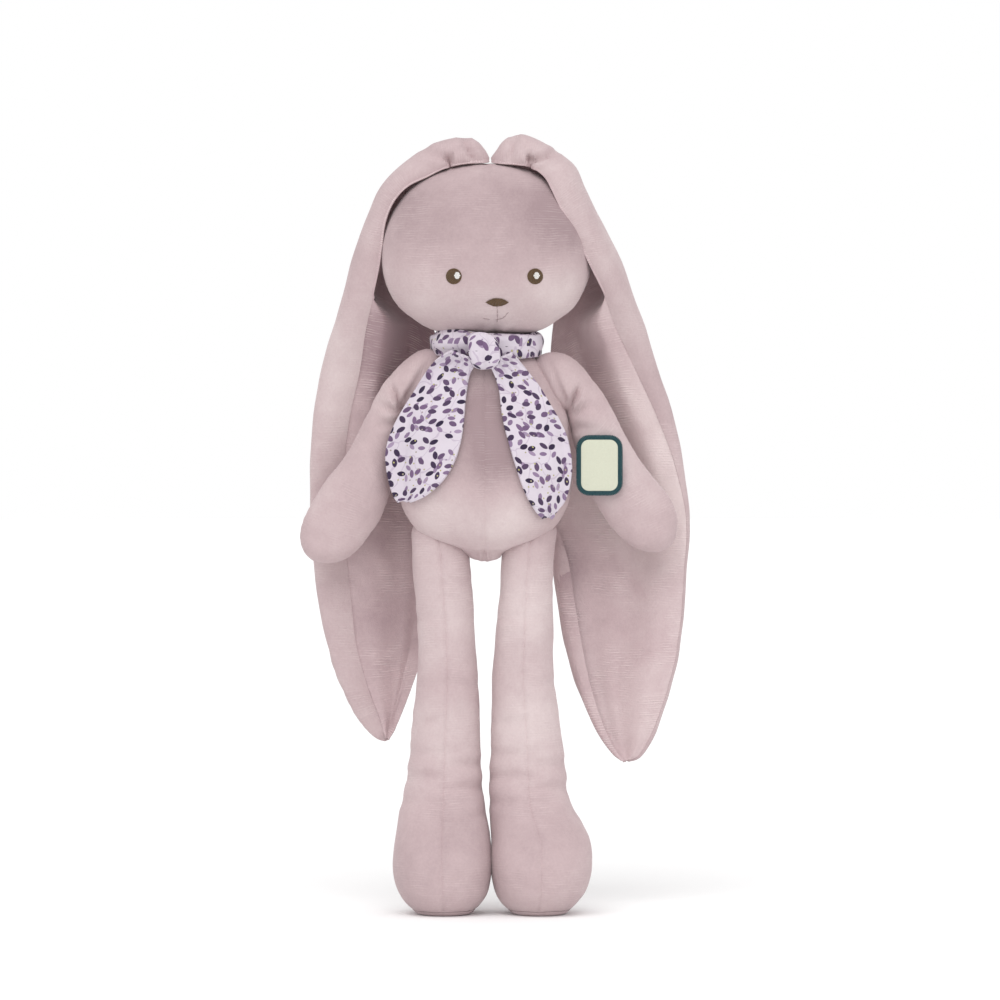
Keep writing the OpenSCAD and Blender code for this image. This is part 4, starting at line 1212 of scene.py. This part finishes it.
stitch.links.new(hump_vector.outputs[0], bow.inputs["Offset"])
tangent = stitch.nodes.new("GeometryNodeInputTangent")
direct = stitch.nodes.new("FunctionNodeAlignRotationToVector")
direct.axis = "X"
direct.pivot_axis = "Y"
stitch.links.new(tangent.outputs[0], direct.inputs["Vector"])
slanted_turn = stitch.nodes.new("FunctionNodeRotateRotation")
slanted_turn.rotation_space = "LOCAL"
stitch.links.new(direct.outputs[0], slanted_turn.inputs["Rotation"])
lean_by = stitch.nodes.new("ShaderNodeCombineXYZ")
stitch.links.new(stitch_in.outputs["Slant"], lean_by.inputs[1])
stitch.links.new(lean_by.outputs[0], slanted_turn.inputs["Rotate By"])
sew = stitch.nodes.new("GeometryNodeInstanceOnPoints")
stitch.links.new(cut.outputs[0], sew.inputs["Points"])
stitch.links.new(bow.outputs[0], sew.inputs["Instance"])
stitch.links.new(slanted_turn.outputs[0], sew.inputs["Rotation"])
stitch.links.new(stitch_in.outputs["Length"], sew.inputs["Scale"])
sewn = stitch.nodes.new("GeometryNodeRealizeInstances")
stitch.links.new(sew.outputs[0], sewn.inputs[0])
ring = stitch.nodes.new("GeometryNodeCurvePrimitiveCircle")
ring.inputs["Resolution"].default_value = 6
stitch.links.new(maths(stitch, "MULTIPLY", stitch_in.outputs["Thread"], 0.5), ring.inputs["Radius"])
sweep = stitch.nodes.new("GeometryNodeCurveToMesh")
sweep.inputs["Fill Caps"].default_value = True
stitch.links.new(sewn.outputs[0], sweep.inputs["Curve"])
stitch.links.new(ring.outputs[0], sweep.inputs["Profile Curve"])
real = stitch.nodes.new("GeometryNodeRealizeInstances")
stitch.links.new(sweep.outputs[0], real.inputs[0])
paint = stitch.nodes.new("GeometryNodeSetMaterial")
paint.inputs["Material"].default_value = thread_rose
stitch.links.new(real.outputs[0], paint.inputs["Geometry"])
stitch.links.new(paint.outputs[0], stitch_out.inputs["Geometry"])
print("path tree:", len(stitch.nodes), "nodes")


# %% [markdown]
# ## Face
#
# Two round eyes in brown satin stitch with a thin darker outline, each with a small white
# highlight, a narrow spindle of a nose and, under it, a mouth of a few faint rose stitches.

# %% Laying embroidery on the face
from mathutils.bvhtree import BVHTree

face_tree = BVHTree.FromPolygons(
    [v.co.copy() for v in pieces["head_front"].data.vertices],
    [tuple(p.vertices) for p in pieces["head_front"].data.polygons])


def lay_on_face(obj, x, z, lift):
    """Moves a flat piece onto the face at x, z in mm; its own -Y points out of the face."""
    for vertex in obj.data.vertices:
        px, out, pz = vertex.co.x + x * MM, -vertex.co.y, vertex.co.z + z * MM
        hit, normal, *_ = face_tree.ray_cast(Vector((px, -0.2, pz)), Vector((0, 1, 0)))
        vertex.co = Vector((px, hit.y, pz)) + Vector((0.3 * normal.x, normal.y, 0.3 * normal.z)) * (out + lift * MM)
    obj.data.update()
    return obj


def path_mesh(points, closed=False):
    """An edge path through points in metres."""
    mesh = bpy.data.meshes.new("path")
    edges = [(i, i + 1) for i in range(len(points) - 1)] + ([(len(points) - 1, 0)] if closed else [])
    mesh.from_pydata([tuple(p) for p in points], edges, [])
    return mesh


def circle_path(width, height, count=48):
    return [(width / 2 * math.cos(a), 0, height / 2 * math.sin(a))
            for a in np.linspace(0, math.tau, count, endpoint=False)]


# %% Eyes, nose and mouth
for side, glint_x, glint_w in (("right", 1.6, 2.5), ("left", 0.6, 2.6)):
    low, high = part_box(f"eye_{side}")
    x, z = (low[0] + high[0]) / 2 / MM, (low[2] + high[2]) / 2 / MM
    wide = (high[2] - low[2]) * 1.0
    disc = swept("disc", satin, {"Width": wide * 0.85, "Height": wide * 0.85, "Thread": 0.0004,
                                 "Point": 0.5, "Dome": 0.0007}, thread_brown)
    rim = swept("rim", stitch, {"Spacing": 0.00055, "Length": 0.0010, "Thread": 0.0005, "Slant": 0.35},
                thread_brown, path_mesh(circle_path(wide * 0.86, wide * 0.86), True))
    eye = join(f"eye_{side}", [disc, rim])
    pieces[f"eye_{side}"] = lay_on_face(eye, x, z, 0.15)
    glint = swept(f"eye_glint_{side}", satin, {"Width": glint_w * MM, "Height": 0.0031, "Thread": 0.00034,
                                               "Point": 0.5, "Dome": 0.0003}, thread_white)
    pieces[f"eye_glint_{side}"] = lay_on_face(glint, x + glint_x, z + 0.4, 0.95)
low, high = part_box("nose")
nose_x, nose_z = (low[0] + high[0]) / 2 / MM, (low[2] + high[2]) / 2 / MM
spindle = swept("nose", satin, {"Width": high[0] - low[0], "Height": 0.0036, "Thread": 0.00038,
                                "Point": 1.0, "Dome": 0.0008}, thread_brown)
pieces["nose"] = lay_on_face(spindle, nose_x, nose_z, 0.1)
down = [(-0.1 * MM, 0, -1.9 * MM), (0.1 * MM, 0, -4.6 * MM), (0.0, 0, -8 * MM)]
smile = [(0.2 * MM, 0, -7.6 * MM), (2.0 * MM, 0, -7.2 * MM), (3.6 * MM, 0, -6.2 * MM), (4.4 * MM, 0, -5.1 * MM)]
dash = [(-5.6 * MM, 0, -7.3 * MM), (-4.2 * MM, 0, -7.5 * MM)]
strands = [
    swept("strand", stitch, {"Spacing": 0.0016, "Length": 0.0017, "Thread": 0.00038, "Slant": 0.06},
          thread_rose, path_mesh(points)) for points in (down, smile, dash)
]
pieces["mouth_stitches"] = lay_on_face(join("mouth_stitches", strands), nose_x, nose_z, 0.12)
print("face:", [k for k in pieces if "eye" in k or "nose" in k or "mouth" in k])


# %% [markdown]
# ## Scarf
#
# A strip of cotton is rolled around the neck and tied in front. The roll keeps a few lengthwise
# folds that twist slowly as it goes round. The knot is the same cloth wrapped over once, with its
# folds pulled tight, and two leaf-shaped tails fan out under it and lie on the chest and arms.

# %% Scarf roll and knot
low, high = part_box("scarf_band")
band_x, band_z = (low[0] + high[0]) / 2, (low[2] + high[2]) / 2
reach_x, reach_y = (high[0] - low[0]) / 2 - 3.1 * MM, (high[1] - low[1]) / 2 - 3.1 * MM
around = np.linspace(0, math.tau, 160, endpoint=False)[None, :]
section = np.linspace(0, math.tau, 48, endpoint=False)[:, None]
folded = 1 + 0.09 * np.sin(4 * section + 1.6 * np.sin(2 * around)) + 0.04 * np.sin(7 * section - 3 * around + 1)
folded = folded * (1 + 0.05 * np.sin(5 * around + 0.6))
out = 3.3 * MM * np.cos(section) * folded
rise = 5.7 * MM * np.sign(np.sin(section)) * np.abs(np.sin(section)) ** 0.8 * folded
band = np.stack([
    band_x + (reach_x + out) * np.cos(around), (reach_y + out) * np.sin(around),
    band_z + 0.9 * MM + rise + 0.7 * MM * np.sin(2 * around + 0.5),
], axis=-1)
band = np.concatenate([band, band[:, :1]], axis=1)
mesh = bpy.data.meshes.new("scarf_band")
faces = []
for i in range(48):
    for j in range(160):
        a, b = i * 161 + j, ((i + 1) % 48) * 161 + j
        faces.append((a, a + 1, b + 1, b))
mesh.from_pydata(band.reshape(-1, 3).tolist(), [], faces)
layer = mesh.uv_layers.new(name="cloth")
for polygon in mesh.polygons:
    last = polygon.index // 160 == 47
    for loop, (i, j) in zip(polygon.loop_indices, ((0, 0), (0, 1), (1, 1), (1, 0))):
        row, column = polygon.index // 160 + i, polygon.index % 160 + j
        layer.data[loop].uv = (column * 0.00096, row * 0.0006)
import bmesh
shell = bmesh.new()
shell.from_mesh(mesh)
bmesh.ops.remove_doubles(shell, verts=shell.verts, dist=1e-6)
bmesh.ops.recalc_face_normals(shell, faces=shell.faces)
shell.to_mesh(mesh)
shell.free()
mesh.materials.append(scarf_cotton)
mesh.polygons.foreach_set("use_smooth", [True] * len(mesh.polygons))
pieces["scarf_band"] = bpy.data.objects.new("scarf_band", mesh)
bpy.context.scene.collection.objects.link(pieces["scarf_band"])

low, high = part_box("scarf_knot")
knot = np.array([(low[k] + high[k]) / 2 for k in range(3)])
slice_at = np.linspace(-0.485, 0.485, 44)[:, None] * math.pi
wide = np.sign(slice_at) * np.abs(np.sin(slice_at)) ** 0.9
barrel = np.cos(slice_at) ** 0.55
turn = np.linspace(0, math.tau, 64, endpoint=False)[None, :]
flat_cos = np.sign(np.cos(turn)) * np.abs(np.cos(turn)) ** 0.75
flat_sin = np.sign(np.sin(turn)) * np.abs(np.sin(turn)) ** 0.75
pleats = 1 + 0.10 * np.sin(wide * 6.5 + 0.8 * np.sin(turn) + 0.5) + 0.05 * np.sin(wide * 13 - turn)
form = np.stack([
    knot[0] + 0.1 * MM + 7.1 * MM * wide - 1.0 * MM * np.sin(turn) * barrel,
    knot[1] + 1.6 * MM - 4.6 * MM * flat_cos * barrel * pleats,
    knot[2] - 0.6 * MM + (8.4 - 0.7 * wide) * MM * flat_sin * barrel,
], axis=-1)
run = np.concatenate([[0], np.cumsum(np.linalg.norm(np.diff(form[:, 0], axis=0), axis=-1))])
mesh = grid_mesh("scarf_knot", form)
layer = mesh.uv_layers.new(name="cloth")
for polygon in mesh.polygons:
    for loop in polygon.loop_indices:
        k = mesh.loops[loop].vertex_index
        step = k % 64 if not (k % 64 == 0 and polygon.index % 64 == 63) else 64
        layer.data[loop].uv = (run[k // 64], step * 0.0007)
mesh.materials.append(scarf_cotton)
shell = bmesh.new()
shell.from_mesh(mesh)
bmesh.ops.recalc_face_normals(shell, faces=shell.faces)
shell.to_mesh(mesh)
shell.free()
mesh.polygons.foreach_set("use_smooth", [True] * len(mesh.polygons))
pieces["scarf_knot"] = bpy.data.objects.new("scarf_knot", mesh)
bpy.context.scene.collection.objects.link(pieces["scarf_knot"])
print("scarf roll and knot:", len(pieces["scarf_band"].data.polygons), len(mesh.polygons))


# %% Scarf tails
def chest(x, z):
    """How far forward the body or the arm comes at a place, in mm."""
    rows = np.array(torso_rows, float)
    left, right, middle, deep = (np.interp(z, rows[:, 1], rows[:, k]) for k in (0, 2, 4, 5))
    share = np.clip(np.abs(2 * x - left - right) / (right - left), 0, 0.999)
    body = middle - deep * (1 - share**2.15) ** (1 / 2.15)
    return np.minimum(body, -11.2)


tail_right_rows = [
    (-19.5, 253.5, -8, 249.5), (-26.2, 249.5, -11.2, 244.5), (-31.5, 243, -12.4, 238.5), (-36.5, 235, -13.1, 231.5),
    (-41.8, 226.5, -13.7, 223.5), (-46.3, 217.5, -14.8, 215), (-48.6, 208.5, -17.2, 206.5),
    (-48.2, 200.5, -20.8, 199.5), (-46.8, 194, -25.5, 194), (-44.9, 189, -31.5, 189.5), (-42.5, 186.3, -38, 186.8),
]
tail_left_rows = [
    (-2.5, 248.5, 8, 252.5), (0.6, 242.3, 14.6, 245.5), (2.5, 236, 20.4, 238.4), (3.3, 229.5, 25.2, 230.5),
    (4.6, 221.5, 30.2, 221.8), (7, 212.5, 33.5, 212.5), (9.7, 203.5, 34.9, 203.2), (12.4, 195.3, 34.3, 194.8),
    (15.6, 188, 32.2, 187.5), (19.4, 182.3, 28.7, 182), (22.8, 179, 25.5, 179),
]


def tail(side, rows, seed, lean):
    """One tail: a curved sheet that hangs from the knot and rests on the body."""
    picked = even(rows, 70)
    t = np.linspace(0, 1, 44)[None, :]
    left, right = picked[:, None, 0:2], picked[:, None, 2:4]
    flat = left + (right - left) * t[..., None]
    s = np.linspace(0, 1, 70)[:, None]
    rest = chest(flat[..., 0], flat[..., 1])
    knot_y = -23.5
    y = rest - 2.4
    y = y * (1 - np.exp(-s * 16)) + np.minimum(y, knot_y) * np.exp(-s * 16)
    fan = 1.5 * np.exp(-s * 5.2) * np.sin(t * 15 + seed)
    sway = 0.75 * np.sin(s * 6.5 + t * 3 + seed) * (0.3 + s)
    edge = 1.3 * ((2 * t - 1) ** 4) * (0.4 + 0.6 * s) * lean
    y = y - np.abs(fan) * 0.8 + np.minimum(sway, 0.6) - edge * 0.9
    grid = np.stack([flat[..., 0], y, flat[..., 1]], axis=-1) * MM
    name = f"scarf_tail_{side}"
    n = normals(grid, closed=False)
    flip = float(n[..., 1].sum()) > 0
    pieces[name] = sheet_piece(name, grid, scarf_cotton, 1.1, flip=flip)
    wide = np.linalg.norm(np.diff(grid, axis=1), axis=-1).sum(axis=1).max()
    long = np.linalg.norm(np.diff(grid, axis=0), axis=-1).sum(axis=0).max()
    print(f"{name}: {wide / MM:.0f} by {long / MM:.0f} mm")
    return wide, long


tail_right_size = tail("right", tail_right_rows, 1.3, 1)
tail_left_size = tail("left", tail_left_rows, 4.1, 1)


# %% [markdown]
# ## Side label
#
# A folded tag of woven tape is caught in the side seam: cream in the middle, dark teal round the
# edge, where an overlock stitch closes it. It carries no words and no picture.

# %% Label
def rounded(width, height, corner, count=12):
    """Outline of a rounded rectangle around the origin, in x and z."""
    points = []
    for cx, cz, first in ((1, 1, 0), (-1, 1, 90), (-1, -1, 180), (1, -1, 270)):
        for a in np.radians(np.linspace(first, first + 90, count)):
            points.append(((width / 2 - corner) * cx + corner * math.cos(a),
                           (height / 2 - corner) * cz + corner * math.sin(a)))
    return points


def plate(name, outline, thick, material, centre, bend):
    """A thin plate with soft edges, bent a little along x."""
    rings = []
    for inset, depth in ((0.9, 0.5), (0.25, 0.42), (0.0, 0.15), (0.0, -0.15), (0.25, -0.42), (0.9, -0.5)):
        ring = []
        for x, z in outline:
            length = math.hypot(x, z)
            k = 1 - inset * thick / length
            ring.append((x * k, depth * thick, z * k))
        rings.append(ring)
    grid = np.array(rings)
    for _ in range(3):
        grid = np.concatenate([grid[:1] * (0.55, 1, 0.55), grid, grid[-1:] * (0.55, 1, 0.55)])
    shape = grid + np.array(centre)
    shape[..., 1] += bend * ((grid[..., 0] / 0.01) ** 2) * np.sign(grid[..., 0]) * MM
    mesh = grid_mesh(name, shape)
    shell = bmesh.new()
    shell.from_mesh(mesh)
    bmesh.ops.recalc_face_normals(shell, faces=shell.faces)
    shell.to_mesh(mesh)
    shell.free()
    mesh.materials.append(material)
    mesh.polygons.foreach_set("use_smooth", [True] * len(mesh.polygons))
    obj = bpy.data.objects.new(name, mesh)
    bpy.context.scene.collection.objects.link(obj)
    return obj


low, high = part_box("label_backing")
label_w, label_h = high[0] - low[0], high[2] - low[2]
label_at = [(low[k] + high[k]) / 2 for k in range(3)]
backing = plate("backing", rounded(label_w, label_h, 0.005), 0.0011, label_teal, label_at, -0.5)
front_at = (label_at[0], label_at[1] - 0.00052, label_at[2])
pieces["label_face"] = plate("label_face", rounded(label_w - 0.0034, label_h - 0.0034, 0.0036), 0.0007,
                             label_cream, front_at, -0.5)
border = [(label_at[0] + x * 0.93, label_at[1] - 0.0006 - 0.0005 * (x / 0.01) ** 2 * (1 if x > 0 else -1),
           label_at[2] + z * 0.945) for x, z in rounded(label_w, label_h, 0.005, 16)]
overlock = swept("overlock", stitch, {"Spacing": 0.00062, "Length": 0.0022, "Thread": 0.00062, "Slant": 1.35},
                 label_teal, path_mesh(border, True))
pieces["label_backing"] = join("label_backing", [backing, overlock])
print("label:", round(label_w / MM, 1), "by", round(label_h / MM, 1), "mm")


# %% [markdown]
# ## Pile marks and painted light
#
# Some marks stand for the lie of the pile, where handling has brushed it: the forehead and the
# middle of the body look deeper, and the cheeks and the tummy look paler. The marks on the ears
# are painted light: painted shade on the linings near the head and body, and painted highlight
# on the ears' lit bands and strips. Each mark is a soft round patch, kept on the mesh as a number
# that the pile group adds to its own patches.

# %% Pile marks and painted light
# On the ears the dark marks are painted shade and the pale ones are painted highlight.
nap_and_painted_light_marks = [
    ("head", -34, 314, 20, -0.38), ("head", 30, 317, 22, -0.58), ("head", -3, 322, 18, -0.12),
    ("head", 30, 277, 16, 0.42), ("head", -31, 277, 15, 0.25), ("head", 0, 269, 13, 0.3),
    ("torso", -2, 228, 17, -0.6), ("torso", 0, 206, 17, -0.55), ("torso", 8, 176, 17, 0.3),
    ("torso", -28, 180, 13, 0.25), ("leg_right", -22, 140, 22, 0.2), ("leg_left", 15, 140, 24, 0.28),
    ("leg_right", -22, 85, 22, 0.12), ("leg_left", 16, 85, 22, 0.3), ("leg_right", -23, 30, 17, -0.12),
    ("leg_left", 22, 30, 17, -0.12), ("arm_left", 55, 200, 25, 0.1), ("ear_right_outer", -67, 230, 45, 0.2),
    ("ear_right_outer", -66, 120, 35, 0.12), ("ear_right_lining", -42, 130, 35, -0.1),
    ("ear_right_lining", -36, 250, 30, -0.7), ("ear_left_outer", 60, 290, 50, 0.14),
    ("ear_left_lining", 72, 205, 50, 0.5), ("ear_left_lining", 66, 95, 30, 0.15),
    ("ear_left_lining", 36, 230, 22, -0.35), ("ear_left_lining", 33, 158, 16, -0.5),
]
for name, obj in pieces.items():
    if not {velour_rose.name, velour_lining.name} & {m.name for m in obj.data.materials}:
        continue
    points = np.empty(len(obj.data.vertices) * 3)
    obj.data.vertices.foreach_get("co", points)
    points = points.reshape(-1, 3) / MM
    value = np.zeros(len(points))
    for part, x, z, size, amount in nap_and_painted_light_marks:
        if name.startswith(part):
            away = np.hypot(points[:, 0] - x, points[:, 2] - z) / size
            behind = (points[:, 1] > 4) & (not name.startswith("ear"))
            value += amount * np.exp(-(away**2)) * np.where(behind, 0.5, 1.0)
    # This attribute holds the marks: the lie of the pile, and on the ears painted shade and painted highlight.
    marks = obj.data.attributes.new("brushed", "FLOAT", "POINT")
    marks.data.foreach_set("value", value)
print("brushed pieces:", sum("brushed" in o.data.attributes for o in pieces.values()))


# %% [markdown]
# ## Pieces on the frame
#
# Each piece names the body that it moves with, and most are attached to it. The cloth of a
# body that crosses a joint is not attached: its placement is baked into its mesh where it stands.

# %% Bodies and joints
def at(x, y, z):
    return (x * MM, y * MM, z * MM)


blends = {
    "arm_right": ("torso", at(-33, 0, 244), at(-50, 0, 223)), "arm_left": ("torso", at(26, 0, 244), at(43, 0, 223)),
    "leg_right": ("torso", at(-22, 0, 166), at(-22, 0, 132)), "leg_left": ("torso", at(15, 0, 166), at(15, 0, 132)),
    "ear_right": ("head", at(-8, 0, 339.5), at(-28, 0, 330)), "ear_left": ("head", at(3, 0, 339.5), at(23, 0, 330)),
    "tail_right": ("torso", at(-12, -24, 250), at(-20, -24, 238)),
    "tail_left": ("torso", at(2, -24, 250), at(9, -24, 238)),
}
body_nodes = frame["record"]["behaviour"]["bodies"]
for name, obj in pieces.items():
    body = next((b for b, nodes in body_nodes.items() if name in nodes), None)
    if body is None:
        body = "head"
    else:
        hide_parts(name)
    if body in blends and not name.endswith("sole"):
        parent, start, end = blends[body]
        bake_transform(obj)
    else:
        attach(obj, body)

# The rolled scarf gets its own copy of its mesh.
band_low, band_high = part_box("scarf_band")
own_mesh(pieces["scarf_band"])
print(len(pieces), "pieces placed")


# %% [markdown]
# ## Cloth sizes
#
# The ears and the scarf's tails are sheets. Each ear layer prints its size and area here; the
# tails printed their sizes when they were made.

# %% Sheet sizes
def area(obj):
    """The area of one side of a thin sheet, in square metres."""
    return sum(p.area for p in obj.data.polygons) / 2


for side, sizes in (("right", ear_right_size), ("left", ear_left_size)):
    for layer_name, size in sizes.items():
        obj = pieces[f"ear_{side}_{layer_name}"]
        print(obj.name, [round(v, 3) for v in size], round(area(obj) * 1e4), "cm2")
for side, size in (("right", tail_right_size), ("left", tail_left_size)):
    obj = pieces[f"scarf_tail_{side}"]


# %% [markdown]
# ## Floor, light and camera
#
# A pale seamless floor and soft light from the upper front left, with a weaker fill, so that the
# forms are shaded gently and the shadow under the feet stays faint.

# %% Stage
floor_mesh = bpy.data.meshes.new("floor")
floor_mesh.from_pydata([(6 * math.cos(a), 6 * math.sin(a), 0) for a in np.linspace(0, math.tau, 96, endpoint=False)],
                       [], [tuple(range(96))])
floor = bpy.data.objects.new("floor", floor_mesh)
bpy.context.scene.collection.objects.link(floor)
pale = bpy.data.materials.new("pale floor")
pale.use_nodes = True
pale_shader = pale.node_tree.nodes["Principled BSDF"]
pale_shader.inputs["Roughness"].default_value = 0.9
pale_shader.inputs["Specular IOR Level"].default_value = 0.1
paper = add(pale.node_tree, "ShaderNodeTexNoise", {"Scale": 3.0, "Detail": 2.0})
tone = add(pale.node_tree, "ShaderNodeMix", {0: 0.5}, data_type="RGBA")
pale.node_tree.links.new(paper.outputs["Fac"], tone.inputs[0])
tone.inputs[6].default_value = (0.97, 0.97, 0.97, 1)
tone.inputs[7].default_value = (0.985, 0.985, 0.985, 1)
pale.node_tree.links.new(tone.outputs[2], pale_shader.inputs["Base Color"])
floor_mesh.materials.append(pale)

world = bpy.data.worlds.new("soft room")
bpy.context.scene.world = world
world.use_nodes = True
background = world.node_tree.nodes["Background"]
background.inputs["Color"].default_value = (1.0, 1.0, 1.0, 1)
rays = add(world.node_tree, "ShaderNodeLightPath")
seen = maths(world.node_tree, "MULTIPLY_ADD", rays.outputs["Is Camera Ray"], 0.27, 0.73)
world.node_tree.links.new(seen, background.inputs["Strength"])


def sun(name, direction, strength, softness):
    """A distant light with soft shadows; the direction points from the doll to the light."""
    light = bpy.data.lights.new(name, "SUN")
    light.energy = strength
    light.angle = math.radians(softness)
    obj = bpy.data.objects.new(name, light)
    obj.rotation_euler = Vector(direction).to_track_quat("Z", "Y").to_euler()
    bpy.context.scene.collection.objects.link(obj)


sun("key", (-0.22, -1.0, 1.15), 1.25, 55)
sun("fill", (0.9, -1.0, 0.55), 0.3, 60)
sun("top", (0.0, 0.1, 1.0), 0.3, 60)

camera_data = bpy.data.cameras.new("camera")
camera = bpy.data.objects.new("camera", camera_data)
bpy.context.scene.collection.objects.link(camera)
aim = Vector((0.0027, 0, 0.1866))
distance, tilt = 2.5, math.radians(1.5)
camera.location = aim + Vector((0, -distance * math.cos(tilt), distance * math.sin(tilt)))
camera.rotation_euler = (aim - camera.location).to_track_quat("-Z", "Y").to_euler()
camera_data.lens = 198.8
camera_data.clip_end = 20
bpy.context.scene.camera = camera
bpy.context.scene.view_settings.view_transform = "Standard"
print("camera at", [round(v, 3) for v in camera.location])
